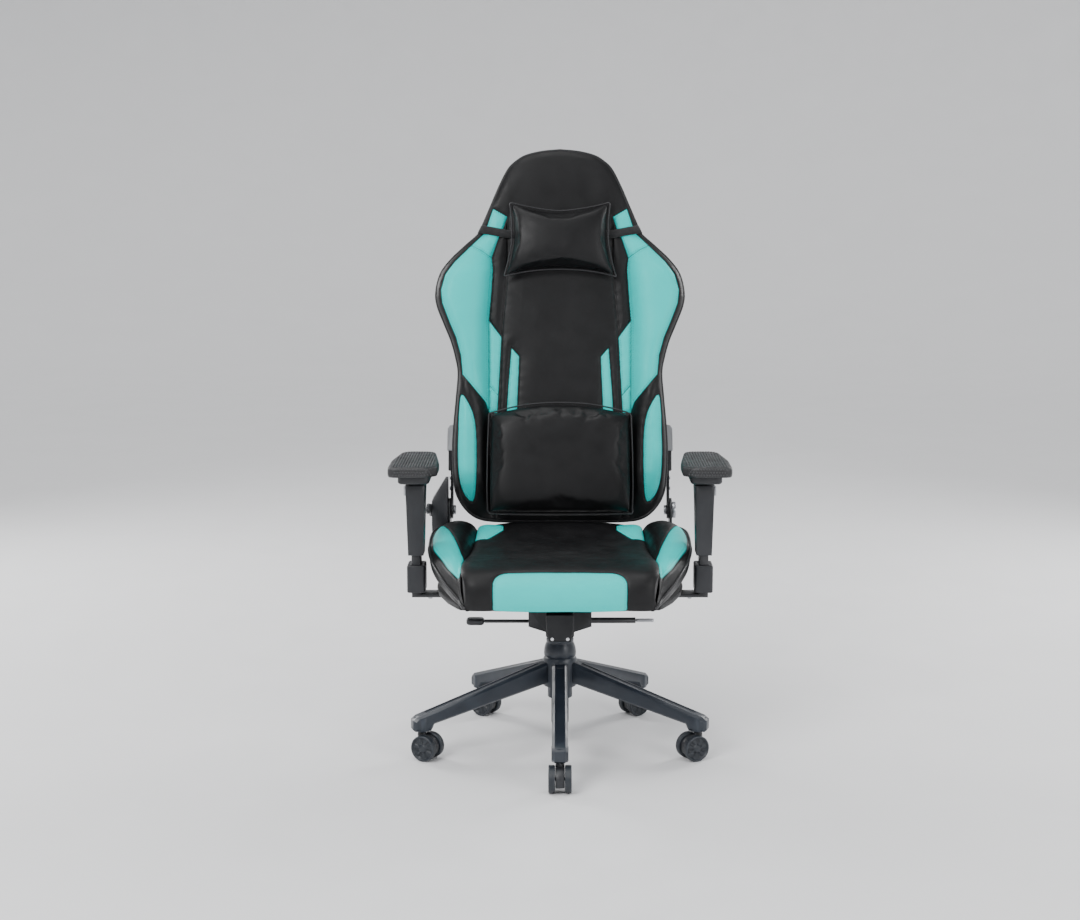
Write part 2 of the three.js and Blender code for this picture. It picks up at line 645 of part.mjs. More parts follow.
/** Plan outline of the whole seat, pulled in by a margin all round. */
function seatPlan(margin) {
  const w = SEAT_HALF_WIDTH - margin;
  const front = SEAT_FRONT + margin;
  const rear = SEAT_REAR - margin;
  return mirroredOutline([
    [w - 94, front + 8], [w - 52, alongSeat(0.2)], [w - 30, alongSeat(0.31)], [w - 8, alongSeat(0.48)],
    [w, alongSeat(0.63)], [w, alongSeat(0.76)], [w - 10, alongSeat(0.87)], [w - 28, rear - 12],
    [w - 48, rear],
  ]);
}

/** The pan under the cushions; its front edge is set back under the cushion's nose. */
function seatPan() {
  const whole = slabZ(seatPlan(18), 0, PAN_THICKNESS, 2);
  const nose = block(
    -SEAT_HALF_WIDTH, SEAT_HALF_WIDTH, SEAT_FRONT - 1, SEAT_FRONT + PAN_SET_BACK, -1, PAN_THICKNESS + 1,
  );
  return cut(whole, nose);
}

function seatCushion() {
  const profile = [
    [SEAT_FRONT + 14, CUSHION_BOTTOM], [SEAT_REAR, CUSHION_BOTTOM], [SEAT_REAR, CREST_HEIGHT + 8],
    [SEAT_REAR - 10, CREST_HEIGHT + 13], [alongSeat(0.89), CREST_HEIGHT + 4],
    [alongSeat(0.67), CREST_HEIGHT - 8], [alongSeat(0.45), CREST_HEIGHT - 8],
    [alongSeat(0.25), CREST_HEIGHT], [alongSeat(0.12), CREST_HEIGHT - 2],
    [SEAT_FRONT + 17, CREST_HEIGHT - 11], [SEAT_FRONT + 3, CREST_HEIGHT - 26],
    [SEAT_FRONT, CREST_HEIGHT - 50],
    [SEAT_FRONT + 4, CUSHION_BOTTOM + 14],
  ];
  const plan = mirroredOutline([
    [CENTRE_FRONT_HALF_WIDTH - 14, SEAT_FRONT - 1], [CENTRE_FRONT_HALF_WIDTH, SEAT_FRONT + 45],
    [CENTRE_FRONT_HALF_WIDTH, alongSeat(1 / 3)], [CENTRE_REAR_HALF_WIDTH, SEAT_REAR + 1],
  ]);
  return common(
    slabX(profile, -SEAT_HALF_WIDTH, SEAT_HALF_WIDTH),
    slabZ(plan, 0, CREST_HEIGHT + 40),
  );
}

function seatBolster() {
  const crestX = SEAT_HALF_WIDTH - 42;
  const section = [
    [CENTRE_REAR_HALF_WIDTH - 10, CUSHION_BOTTOM], [SEAT_HALF_WIDTH - 38, CUSHION_BOTTOM],
    [SEAT_HALF_WIDTH, BOLSTER_HEIGHT - 56], [SEAT_HALF_WIDTH, BOLSTER_HEIGHT - 34],
    [SEAT_HALF_WIDTH - 14, BOLSTER_HEIGHT - 10], [crestX, BOLSTER_HEIGHT],
    [crestX - 30, BOLSTER_HEIGHT - 10], [CENTRE_REAR_HALF_WIDTH - 10, BOLSTER_HEIGHT - 32],
  ];
  const profile = [
    [SEAT_FRONT + 8, CUSHION_BOTTOM], [SEAT_REAR, CUSHION_BOTTOM], [SEAT_REAR, BOLSTER_HEIGHT - 12],
    [SEAT_REAR - 22, BOLSTER_HEIGHT], [alongSeat(0.64), BOLSTER_HEIGHT],
    [alongSeat(0.48), BOLSTER_HEIGHT - 8], [alongSeat(0.31), BOLSTER_HEIGHT - 26],
    [alongSeat(0.2), BOLSTER_HEIGHT - 44], [alongSeat(0.11), BOLSTER_HEIGHT - 64],
    [SEAT_FRONT + 16, CUSHION_BOTTOM + 30],
  ];
  const inside = mirroredOutline([
    [CENTRE_FRONT_HALF_WIDTH - 14 + GAP, SEAT_FRONT - 1], [CENTRE_FRONT_HALF_WIDTH + GAP, SEAT_FRONT + 45],
    [CENTRE_FRONT_HALF_WIDTH + GAP, alongSeat(1 / 3)], [CENTRE_REAR_HALF_WIDTH + GAP, SEAT_REAR + 1],
  ]);
  const whole = common(
    slabZ(seatPlan(0), 0, BOLSTER_HEIGHT + 20),
    slabY(section, SEAT_FRONT - 1, SEAT_REAR + 1),
    slabX(profile, 0, SEAT_HALF_WIDTH + 1),
  );
  return cut(whole, slabZ(inside, -10, BOLSTER_HEIGHT + 40));
}

function addSeat(chair) {
  const seat = groupAt(chair, 0, 0, SEAT_Z);
  add(seat, 'seat_plate', seatPlate(), BLACK_PAINT);
  add(seat, 'seat_pan', seatPan(), WEBBING);
  add(seat, 'seat_cushion', seatCushion(), BLACK_LEATHER);
  for (const [sideName, side] of SIDES) {
    add(seat, `seat_bolster_${sideName}`, onSide(seatBolster(), side), BLACK_LEATHER);
  }
  return seat;
}

// ---------------------------------------------------------------------------------------------
// Armrests
// ---------------------------------------------------------------------------------------------

function armBracket() {
  const underside = -GAP - BRACKET_THICKNESS;
  const outline = [
    [BRACKET_INNER_X, underside], [ARM_X + POST_HALF_X, underside], [ARM_X + POST_HALF_X, POST_TOP],
    [ARM_X - POST_HALF_X, POST_TOP], [ARM_X - POST_HALF_X, -GAP], [BRACKET_INNER_X, -GAP],
  ];
  return slabY(outline, ARM_Y - BRACKET_WIDTH / 2, ARM_Y + BRACKET_WIDTH / 2);
}

/** The room that a piece leaves round the post, about the arm's own axis. */
function postRoom(z0, z1) {
  const halfX = POST_HALF_X + GAP;
  const halfY = BRACKET_WIDTH / 2 + GAP;
  return block(-halfX, halfX, -halfY, halfY, z0, z1);
}

function armCollar() {
  const outline = roundedRectangle(-COLLAR_HALF_X, COLLAR_HALF_X, -COLLAR_HALF_Y, COLLAR_HALF_Y, 6);
  return cut(slabZ(outline, COLLAR_BOTTOM, COLLAR_TOP, 2), postRoom(COLLAR_BOTTOM - 1, COLLAR_TOP + 1));
}

function armSleeve() {
  const front = mirroredOutline([
    [SLEEVE_HALF_X - SLEEVE_TAPER, SLEEVE_BOTTOM], [SLEEVE_HALF_X - 2, SLEEVE_TOP - 40],
    [SLEEVE_HALF_X, SLEEVE_TOP],
  ]);
  const side = mirroredOutline([
    [SLEEVE_HALF_Y - SLEEVE_TAPER, SLEEVE_BOTTOM], [SLEEVE_HALF_Y, SLEEVE_TOP - 12],
    [SLEEVE_HALF_Y, SLEEVE_TOP],
  ]);
  const body = common(
    slabY(front, -SLEEVE_HALF_Y - 1, SLEEVE_HALF_Y + 1),
    slabX(side, -SLEEVE_HALF_X - 1, SLEEVE_HALF_X + 1),
    slabZ(
      roundedRectangle(-SLEEVE_HALF_X, SLEEVE_HALF_X, -SLEEVE_HALF_Y, SLEEVE_HALF_Y, 7),
      SLEEVE_BOTTOM - 1, SLEEVE_TOP + 1,
    ),
  );
  const buttonRoom = joined(armButton(GAP), armButton(GAP).translate(-BUTTON_TRAVEL, 0, 0));
  return cut(body, postRoom(SLEEVE_BOTTOM - 1, SLEEVE_TOP - SLEEVE_ROOF), buttonRoom);
}

/** The height button on the sleeve's outer side, or the room for it with a margin. */
function armButton(margin = 0) {
  const outer = SLEEVE_HALF_X + BUTTON_PROUD;
  const top = SLEEVE_TOP - 6;
  return block(
    outer - BUTTON_DEPTH - margin, outer + margin,
    -BUTTON_WIDTH / 2 - margin, BUTTON_WIDTH / 2 + margin,
    top - BUTTON_HEIGHT - margin, top + margin,
  );
}

function armPadBase() {
  const disc = bar(SWIVEL_RADIUS, SLEEVE_TOP + GAP, SLEEVE_TOP + SWIVEL_HEIGHT + 1, 20);
  const plate = slabZ(
    roundedRectangle(-34, 34, -78, 62, 12), SLEEVE_TOP + SWIVEL_HEIGHT, PAD_BASE_TOP, 3,
  );
  return joined(disc, plate);
}

/** The pad's plan narrows to the rear, and its inner front corner is cut off. */
function armPad() {
  const w = PAD_WIDTH / 2;
  const front = PAD_SET_BACK - PAD_LENGTH / 2;
  const rear = PAD_SET_BACK + PAD_LENGTH / 2;
  const outline = [
    [PAD_CHAMFER - w, front], [w - 9, front], [w, front + 10], [w, PAD_SET_BACK - 10],
    [w - 13, rear - 16], [w - 26, rear], [30 - w, rear], [15 - w, rear - 12], [-w, front + 90],
    [-w, front + PAD_CHAMFER],
  ];
  return slabZ(outline, PAD_BASE_TOP + GAP, PAD_BASE_TOP + GAP + PAD_THICKNESS, 4);
}

function addArmrests(seat) {
  for (const [sideName, side] of SIDES) {
    const arm = groupAt(seat, side * ARM_X, ARM_Y, 0);
    add(seat, `arm_bracket_${sideName}`, onSide(armBracket(), side), BLACK_PAINT);
    add(arm, `arm_collar_${sideName}`, armCollar(), BLACK_NYLON);
    add(arm, `arm_sleeve_${sideName}`, onSide(armSleeve(), side), BLACK_NYLON);
    add(arm, `arm_button_${sideName}`, onSide(armButton(), side), BLACK_NYLON);
    add(arm, `arm_pad_base_${sideName}`, armPadBase(), BLACK_NYLON);
    add(arm, `arm_pad_${sideName}`, onSide(armPad(), side), SOFT_PAD);
  }
}

// ---------------------------------------------------------------------------------------------
// Recliner: lower plates, pins, covers and lever on the seat; upper plates on the back
// ---------------------------------------------------------------------------------------------

function lowerPlate() {
  const underside = -GAP - BRACKET_THICKNESS;
  const y = RECLINE_Y;
  const outline = [
    [SEAT_REAR - 80, underside], [y + 26, underside], [y + 32, RECLINE_Z - 40],
    ...arc(y, RECLINE_Z, 28, 0, 180, 8),
    [y - 32, RECLINE_Z - 40], [SEAT_REAR + 12, PAN_THICKNESS + 12], [SEAT_REAR - 4, -GAP],
    [SEAT_REAR - 80, -GAP],
  ];
  return cut(
    slabX(outline, LOWER_PLATE_X, LOWER_PLATE_X + RECLINER_THICKNESS),
    barX(RECLINER_PIN_RADIUS + GAP, RECLINER_X, RECLINER_COVER_X, y, RECLINE_Z),
  );
}

function reclinerPin() {
  const head = RECLINER_X - GAP;
  const pin = turned([
    [0, head - 6], [RECLINER_PIN_RADIUS + 4, head - 6], [RECLINER_PIN_RADIUS + 4, head],
    [RECLINER_PIN_RADIUS, head], [RECLINER_PIN_RADIUS, RECLINER_COVER_X + 4], [0, RECLINER_COVER_X + 4],
  ], 16);
  return pin.rotateY(Math.PI / 2).translate(0, RECLINE_Y, RECLINE_Z);
}

/** The gear cover on the lever's side: its outer face slopes in towards the upper plate. */
function reclinerCover() {
  const y = RECLINE_Y;
  const outer = RECLINER_COVER_X + COVER_DEPTH;
  const side = [
    [y - 22, RECLINE_Z - 74], [y + 24, RECLINE_Z - 74], [y + 36, RECLINE_Z - 30],
    [y + 36, RECLINE_Z + 12], [y + 18, RECLINE_Z + COVER_RISE], [y - 12, RECLINE_Z + COVER_RISE],
    [y - 36, RECLINE_Z + 20], [y - 36, RECLINE_Z - 30],
  ];
  const front = [
    [RECLINER_COVER_X, RECLINE_Z - 75], [outer - 4, RECLINE_Z - 75], [outer, RECLINE_Z - 60],
    [outer, RECLINE_Z + 26], [RECLINER_COVER_X + 6, RECLINE_Z + COVER_RISE],
    [RECLINER_COVER_X, RECLINE_Z + COVER_RISE],
  ];
  const body = common(slabX(side, RECLINER_COVER_X, outer), slabY(front, y - 40, y + 40));
  return cut(
    body,
    barX(RECLINER_PIN_RADIUS + GAP, RECLINER_COVER_X - 1, RECLINER_COVER_X + 4 + GAP, y, RECLINE_Z),
  );
}

/** The flat coil that pulls the back upright, outside the lower plate on the other side. */
function reclinerSpring() {
  const x = RECLINER_COVER_X;
  const coil = turned([
    [RECLINER_PIN_RADIUS + GAP, x], [SPRING_COIL_RADIUS, x], [SPRING_COIL_RADIUS, x + SPRING_COIL_WIDTH],
    [RECLINER_PIN_RADIUS + GAP, x + SPRING_COIL_WIDTH], [RECLINER_PIN_RADIUS + GAP, x],
  ], 20);
  return coil.rotateY(Math.PI / 2).translate(0, RECLINE_Y, RECLINE_Z);
}

function reclineLever() {
  const x = RECLINER_COVER_X + COVER_DEPTH + GAP;
  const y = RECLINE_Y;
  const z = RECLINE_Z;
  const outline = [
    ...arc(y, z, 15, -120, 60, 8), [y - 30, z + 20], [y - 84, z + 30], [y - 112, z + 26],
    [y - 116, z + 16], [y - 108, z + 10], [y - 40, z + 3],
  ];
  return slabX(outline, x, x + RECLINE_LEVER_THICKNESS, 2);
}

/** In the back's own frame: x, s up its front face, n forwards. */
function upperPlate() {
  const w = UPPER_PLATE_HALF_WIDTH;
  const outline = [
    ...arc(RECLINE_S, RECLINE_N, 20, 90, 270, 8),
    [RECLINE_S + 40, RECLINE_N - w], [UPPER_PLATE_TOP - 8, RECLINE_N - w],
    [UPPER_PLATE_TOP, RECLINE_N - w + 8], [UPPER_PLATE_TOP, RECLINE_N + w - 8],
    [UPPER_PLATE_TOP - 8, RECLINE_N + w], [RECLINE_S + 40, RECLINE_N + w],
  ];
  const shroud = [
    [RECLINE_S + 90, RECLINE_N - w - 2], [UPPER_PLATE_TOP - 6, RECLINE_N - w - 2],
    [UPPER_PLATE_TOP + 2, RECLINE_N - w + 6], [UPPER_PLATE_TOP + 2, RECLINE_N + w - 6],
    [UPPER_PLATE_TOP - 6, RECLINE_N + w + 2], [RECLINE_S + 90, RECLINE_N + w + 2],
  ];
  return cut(
    joined(
      slabX(outline, RECLINER_X, RECLINER_X + RECLINER_THICKNESS),
      slabX(shroud, RECLINER_X, RECLINER_X + SHROUD_THICKNESS, 1.5),
    ),
    barX(RECLINER_PIN_RADIUS + GAP, RECLINER_X - 1, LOWER_PLATE_X + 1, RECLINE_S, RECLINE_N),
  );
}

function addRecliner(seat) {
  for (const [sideName, side] of SIDES) {
    add(seat, `recliner_lower_${sideName}`, onSide(lowerPlate(), side), BLACK_PAINT);
    add(seat, `recliner_pin_${sideName}`, onSide(reclinerPin(), side), STEEL);
  }
  add(seat, 'recliner_cover', onSide(reclinerCover(), -1), BLACK_NYLON);
  add(seat, 'recliner_spring', reclinerSpring(), STEEL);
  add(seat, 'recline_lever', onSide(reclineLever(), -1), BLACK_NYLON);
}

// ---------------------------------------------------------------------------------------------
// Backrest, in its own frame: x, s up the front face, n forwards from it
// ---------------------------------------------------------------------------------------------

const NOTCH = [NOTCH_HALF_WIDTH, NOTCH_HEIGHT];

/** Outer edge of a wing, from the foot up over the waist and the shoulder. */
function wingEdge() {
  const waist = [[-54, 12], [-27, 33], [-9, 63], [-3, 97], [0, 154], [-2, 212], [-8, 283], [-12, 341]];
  const shoulder = [
    [-46, -152], [-35, -113], [-19, -74], [-3, -32], [0, 0], [-10, 40], [-33, 73], [-67, 107],
  ];
  return [
    ...waist.map(([x, s]) => [WAIST_HALF_WIDTH + x, s]),
    ...shoulder.map(([x, s]) => [SHOULDER_HALF_WIDTH + x, SHOULDER_HEIGHT + s]),
  ];
}

/** Outer edge of the head part, from the notch to the crown. */
function headEdge() {
  const [x, s] = NOTCH;
  const top = BACK_HEIGHT;
  return [
    NOTCH, [x - 9, s + 16], [x - 25, s + 63], [x - 45, top - 84], [x - 65, top - 45],
    [x - 84, top - 25], [x - 106, top - 13], [x - 142, top - 4], [0, top],
  ];
}

/** Right half of the centre cushion: the panel between the wings, and the whole head part. */
function centreEdge(margin) {
  return [
    [WING_SEAM + margin, 14 - margin], [WING_SEAM + margin, NOTCH_HEIGHT - 203],
    [WING_SEAM - 7 + margin, NOTCH_HEIGHT - 86], [WING_SEAM - 13 + margin, NOTCH_HEIGHT - 27 - margin],
    [NOTCH_HALF_WIDTH + margin, NOTCH_HEIGHT - 2 - margin],
  ];
}

function backOutline() {
  return mirroredOutline([...wingEdge(), ...headEdge()]);
}

/** A round bar along the steel frame's path, which enters the back's foam through its foot. */
function frameBar(radius) {
  const n = -(SHELL_DEPTH + PAD_BACK_DEPTH) / 2;
  const path = new THREE.CatmullRomCurve3([
    [-WING_SEAM, 0], [-WING_SEAM, 300], [8 - WING_SEAM, NOTCH_HEIGHT - 107],
    [66 - NOTCH_HALF_WIDTH, BACK_HEIGHT - 131], [-60, BACK_HEIGHT - 61], [60, BACK_HEIGHT - 61],
    [NOTCH_HALF_WIDTH - 66, BACK_HEIGHT - 131], [WING_SEAM - 8, NOTCH_HEIGHT - 107],
    [WING_SEAM, 300], [WING_SEAM, 0],
  ].map(([x, s]) => new THREE.Vector3(x, s, n)));
  const circle = arc(0, 0, radius, 0, 315, 7).map(([a, b]) => new THREE.Vector2(a, b));
  return new THREE.ExtrudeGeometry(new THREE.Shape(circle), {
    steps: 40, bevelEnabled: false, extrudePath: path,
  });
}

/** The moulded foam behind the cushions, with the frame's channel in it. */
function backShell() {
  return cut(
    slabZ(backOutline(), -SHELL_DEPTH, -PAD_BACK_DEPTH - GAP),
    frameBar(FRAME_TUBE_RADIUS + GAP),
  );
}

function backFrame() {
  const foot = block(-BACK_HEIGHT, BACK_HEIGHT, -50, FRAME_FOOT, -SHELL_DEPTH, 0);
  return cut(frameBar(FRAME_TUBE_RADIUS), foot);
}

function backCushion() {
  const outline = mirroredOutline([...centreEdge(0), ...headEdge().slice(1)]);
  return slabZ(outline, -PAD_BACK_DEPTH, 0);
}

function backWing() {
  const rear = -PAD_BACK_DEPTH;
  const wingPlan = [[0, 12], ...wingEdge(), NOTCH, [0, NOTCH_HEIGHT]];
  const outer = Math.max(SHOULDER_HALF_WIDTH, WAIST_HALF_WIDTH);
  const section = [
    [WING_SEAM - 13, rear], [outer + 16, rear], [outer + 4, 6], [outer - 22, WING_PROUD - 12],
    [WING_SEAM + 72, WING_PROUD], [WING_SEAM + 42, WING_PROUD - 4], [WING_SEAM + 17, WING_PROUD - 20],
    [WING_SEAM, 2], [WING_SEAM - 13, 0],
  ];
  const profile = [
    [10, rear], [NOTCH_HEIGHT + 3, rear], [NOTCH_HEIGHT + 1, 0], [NOTCH_HEIGHT - 27, 20],
    [NOTCH_HEIGHT - 77, WING_PROUD], [120, WING_PROUD], [60, 18], [12, 0],
  ];
  const divider = [
    [0, 0], ...centreEdge(GAP), [NOTCH_HALF_WIDTH + GAP, NOTCH_HEIGHT + 20], [0, NOTCH_HEIGHT + 20],
  ];
  const whole = common(
    slabZ(wingPlan, rear, WING_PROUD),
    slabY(section, -1, NOTCH_HEIGHT + 1),
    slabX(profile, 0, outer + 16),
  );
  return cut(whole, slabZ(divider, rear - 1, WING_PROUD + 1));
}

function headPillow() {
  const w = HEAD_PILLOW_HALF_WIDTH;
  const s = NOTCH_HEIGHT; // the pillow hangs from the strap in the notch
  const outline = mirroredOutline([
    [0, s - 89], [w / 2, s - 94], [w - 33, s - 104], [w - 7, s - 109], [w, s - 101], [w - 9, s - 77],
    [w - 17, s - 47], [w - 18, s - 17], [w - 13, s + 33], [w - 8, s + 61], [w - 15, s + 69],
    [w - 29, s + 65], [w / 3, s + 51], [0, s + 48],
  ]);
  const rear = STRAP_THICKNESS + 3 * GAP;
  const front = rear + HEAD_PILLOW_DEPTH;
  const section = mirroredOutline([[w - 25, rear], [w, rear + 20], [w, front - 24], [w - 29, front]]);
  const profile = [
    [s - 87, rear], [s - 111, rear + 18], [s - 111, front - 22], [s - 81, front], [s + 41, front],
    [s + 73, front - 24], [s + 73, rear + 16], [s + 45, rear],
  ];
  return common(slabZ(outline, rear, front), slabY(section, s - 120, s + 80), slabX(profile, -w, w));
}

function headStrap() {
  const front = GAP + STRAP_THICKNESS;
  const rear = -SHELL_DEPTH - GAP - STRAP_THICKNESS;
  const w = STRAP_HALF_WIDTH;
  const top = NOTCH_HEIGHT + STRAP_WIDTH;
  return cut(
    block(-w, w, NOTCH_HEIGHT, top, rear, front),
    block(-w + STRAP_THICKNESS, w - STRAP_THICKNESS, NOTCH_HEIGHT - 1, top + 1,
      rear + STRAP_THICKNESS, front - STRAP_THICKNESS),
  );
}

function lumbarPillow() {
  const w = LUMBAR_HALF_WIDTH;
  const outline = mirroredOutline([
    [0, 10], [w - 12, 12], [w, 22], [w - 2, 140], [w, LUMBAR_HEIGHT - 34], [w - 10, LUMBAR_HEIGHT - 24],
    [w / 2, LUMBAR_HEIGHT - 6], [0, LUMBAR_HEIGHT],
  ]);
  const section = mirroredOutline([
    [w - 24, GAP], [w, 30], [w, 48], [w - 26, LUMBAR_DEPTH],
  ]);
  return common(
    slabZ(outline, 0, LUMBAR_DEPTH + 1),
    slabY(section, 0, LUMBAR_HEIGHT + 1),
  );
}

function addBack(chair, seat) {
  const back = groupAt(chair, 0, BACK_Y, BACK_Z);
  back.rotation.x = Math.PI / 2 - LEAN;
  add(back, 'back_shell', backShell(), BLACK_LEATHER);
  add(back, 'back_frame', backFrame(), STEEL);
  add(back, 'back_cushion', backCushion(), BLACK_LEATHER);
  for (const [sideName, side] of SIDES) {
    add(back, `back_wing_${sideName}`, onSide(backWing(), side), TURQUOISE_LEATHER);
    add(back, `recliner_upper_${sideName}`, onSide(upperPlate(), side), BLACK_PAINT);
  }
  add(back, 'head_strap', headStrap(), WEBBING);
  add(back, 'head_pillow', headPillow(), BLACK_LEATHER);
  add(back, 'lumbar_pillow', lumbarPillow(), BLACK_LEATHER);
  addRecliner(seat);
}

// ---------------------------------------------------------------------------------------------
// The chair
// ---------------------------------------------------------------------------------------------

const chair = new THREE.Group();
chair.position.y = COLUMN_Y;

add(chair, 'star_base', starBase(), SATIN_BASE);
for (let i = 0; i < LEG_COUNT; i += 1) addCaster(chair, i);
add(chair, 'gas_tube', gasTube(), BLACK_PAINT);
add(chair, 'dust_cover', dustCover(), BLACK_NYLON);
add(chair, 'gas_piston', gasPiston(), CHROME);
addMechanism(chair);
const seatGroup = addSeat(chair);
addArmrests(seatGroup);
addBack(chair, seatGroup);

export default chair;
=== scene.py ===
import json
import math

import bmesh
import bpy
import numpy as np
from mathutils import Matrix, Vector, noise


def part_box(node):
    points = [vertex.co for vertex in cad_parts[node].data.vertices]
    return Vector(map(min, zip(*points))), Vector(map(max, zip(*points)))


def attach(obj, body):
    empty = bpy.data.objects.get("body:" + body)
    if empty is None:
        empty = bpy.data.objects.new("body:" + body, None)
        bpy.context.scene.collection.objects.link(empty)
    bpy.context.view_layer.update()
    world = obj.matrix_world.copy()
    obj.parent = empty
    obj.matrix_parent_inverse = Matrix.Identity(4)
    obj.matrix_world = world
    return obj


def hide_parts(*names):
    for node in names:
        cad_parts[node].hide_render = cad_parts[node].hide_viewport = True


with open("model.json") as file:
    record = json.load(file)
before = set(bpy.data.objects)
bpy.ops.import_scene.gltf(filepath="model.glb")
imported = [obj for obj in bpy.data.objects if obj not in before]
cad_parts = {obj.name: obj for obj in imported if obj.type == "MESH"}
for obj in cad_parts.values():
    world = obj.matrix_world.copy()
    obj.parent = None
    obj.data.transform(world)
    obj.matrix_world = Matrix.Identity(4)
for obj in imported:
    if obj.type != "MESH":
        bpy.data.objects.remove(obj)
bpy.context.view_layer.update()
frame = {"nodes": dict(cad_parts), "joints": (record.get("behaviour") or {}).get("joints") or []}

NODES = frame["nodes"]
SIDES = (("left", 1), ("right", -1))  # the sitter's left is +X

# Sizes below are in millimetres. Seat sizes are measured from the column's axis.
MM = 0.001
COLUMN_Y = -25.0

# ---------------------------------------------
# Colours
# ---------------------------------------------

BLACK = (0.0050, 0.0050, 0.0056, 1)
BLACK_WORN = (0.012, 0.012, 0.013, 1)
TURQUOISE = (0.0, 0.600, 0.565, 1)
TURQUOISE_WORN = (0.0, 0.680, 0.640, 1)
PIPING = (0.012, 0.012, 0.013, 1)
NYLON = (0.011, 0.012, 0.015, 1)
BASE_NYLON = (0.013, 0.018, 0.027, 1)
PAINT = (0.010, 0.011, 0.013, 1)
GREY_PADDING = (0.20, 0.205, 0.215, 1)
STEEL = (0.42, 0.43, 0.45, 1)
CHROME = (0.74, 0.75, 0.77, 1)
FLOOR = (0.76, 0.76, 0.77, 1)


# ---------------------------------------------
# Materials
# ---------------------------------------------

class Graph:
    """A material under construction: a principled shader and the nodes that feed it."""

    def __init__(self, name):
        self.material = bpy.data.materials.new(name)
        self.material.use_nodes = True
        self.tree = self.material.node_tree
        self.tree.nodes.clear()
        output = self.add("ShaderNodeOutputMaterial")
        self.shader = self.add("ShaderNodeBsdfPrincipled")
        self.tree.links.new(self.shader.outputs[0], output.inputs[0])
        self.place = self.add("ShaderNodeTexCoord").outputs["Object"]

    def add(self, kind, **settings):
        node = self.tree.nodes.new(kind)
        for key, value in settings.items():
            setattr(node, key, value)
        return node

    def plug(self, node, socket, value):
        """Links a socket into the node's input, or sets the input to a plain value."""
        target = node.inputs[socket]
        if isinstance(value, bpy.types.NodeSocket):
            self.tree.links.new(value, target)
        else:
            target.default_value = value

    def noise(self, scale, detail=4.0, rough=0.55):
        node = self.add("ShaderNodeTexNoise")
        self.plug(node, "Vector", self.place)
        self.plug(node, "Scale", scale)
        self.plug(node, "Detail", detail)
        self.plug(node, "Roughness", rough)
        return node.outputs["Fac"]

    def cells(self, scale):
        node = self.add("ShaderNodeTexVoronoi", feature="DISTANCE_TO_EDGE")
        self.plug(node, "Vector", self.place)
        self.plug(node, "Scale", scale)
        return node.outputs["Distance"]

    def wave(self, scale, direction):
        node = self.add("ShaderNodeTexWave", bands_direction=direction)
        self.plug(node, "Vector", self.place)
        self.plug(node, "Scale", scale)
        return node.outputs["Fac"]

    def field(self, name):
        return self.add("ShaderNodeAttribute", attribute_name=name).outputs["Fac"]

    def edges(self):
        return self.add("ShaderNodeNewGeometry").outputs["Pointiness"]

    def ramp(self, value, low, high, to_low=0.0, to_high=1.0):
        node = self.add("ShaderNodeMapRange", interpolation_type="SMOOTHSTEP")
        for socket, number in ((0, value), (1, low), (2, high), (3, to_low), (4, to_high)):
            self.plug(node, socket, number)
        return node.outputs[0]

    def maths(self, operation, first, second=0.0):
        node = self.add("ShaderNodeMath", operation=operation)
        self.plug(node, 0, first)
        self.plug(node, 1, second)
        return node.outputs[0]

    def mixed(self, share, first, second):
        node = self.add("ShaderNodeMix", data_type="RGBA")
        self.plug(node, 0, share)
        self.plug(node, 6, first)
        self.plug(node, 7, second)
        return node.outputs[2]

    def bumped(self, heights, strength, distance):
        """Adds one bump layer for each height and plugs the result into the shader."""
        previous = None
        for height, share in heights:
            node = self.add("ShaderNodeBump")
            self.plug(node, "Strength", strength * share)
            self.plug(node, "Distance", distance)
            self.plug(node, "Height", height)
            if previous:
                self.plug(node, "Normal", previous)
            previous = node.outputs[0]
        self.plug(self.shader, "Normal", previous)

    def finish(self, **values):
        for key, value in values.items():
            self.plug(self.shader, key.replace("_", " "), value)
        return self.material


def leather(name, base, worn, roughness=0.46, seams=False, two_tone=False):
    """Grained synthetic leather. Seams, with painted shade along them, and a second colour come from the
    mesh's own fields.
    """
    graph = Graph(name)
    wear = graph.ramp(graph.edges(), 0.52, 0.60)
    mottle = graph.ramp(graph.noise(16.0), 0.35, 0.75, 0.0, 0.30)
    colour = graph.mixed(graph.maths("MAXIMUM", wear, mottle), base, worn)
    if two_tone:
        bright_wear = graph.mixed(graph.maths("MAXIMUM", wear, mottle), TURQUOISE, TURQUOISE_WORN)
        colour = graph.mixed(graph.ramp(graph.field("teal"), -0.45, 0.45), colour, bright_wear)
    grain = graph.cells(620.0)
    pores = graph.noise(1500.0, 2.0)
    heights = [(grain, 0.55), (pores, 0.25), (graph.noise(45.0, 3.0), 0.35)]
    if seams:
        # Painted shade: the colour is darkened along each seam, where the sewn groove lies in shade.
        seam_shade = graph.ramp(graph.field("seam"), 0.4, 1.9, 1.0, 0.0)
        colour = graph.mixed(graph.maths("MULTIPLY", seam_shade, 0.75), colour, (0.002, 0.002, 0.002, 1))
        band = graph.maths("ABSOLUTE", graph.maths("SUBTRACT", graph.field("seam"), 4.4))
        dash = graph.maths("SINE", graph.maths("MULTIPLY", graph.field("along"), 2 * math.pi / 5.5))
        thread = graph.maths("MULTIPLY", graph.ramp(band, 0.2, 0.75, 1.0, 0.0), graph.ramp(dash, -0.5, 0.1))
        colour = graph.mixed(graph.maths("MULTIPLY", thread, 0.35), colour, (0.030, 0.032, 0.034, 1))
        heights.append((thread, 0.9))
    graph.bumped(heights, 0.42, 0.0004)
    gloss = graph.ramp(graph.noise(30.0, 5.0), 0.3, 0.7, roughness - 0.05, roughness + 0.07)
    return graph.finish(
        Base_Color=colour, Roughness=gloss, Specular_IOR_Level=0.26,
    )


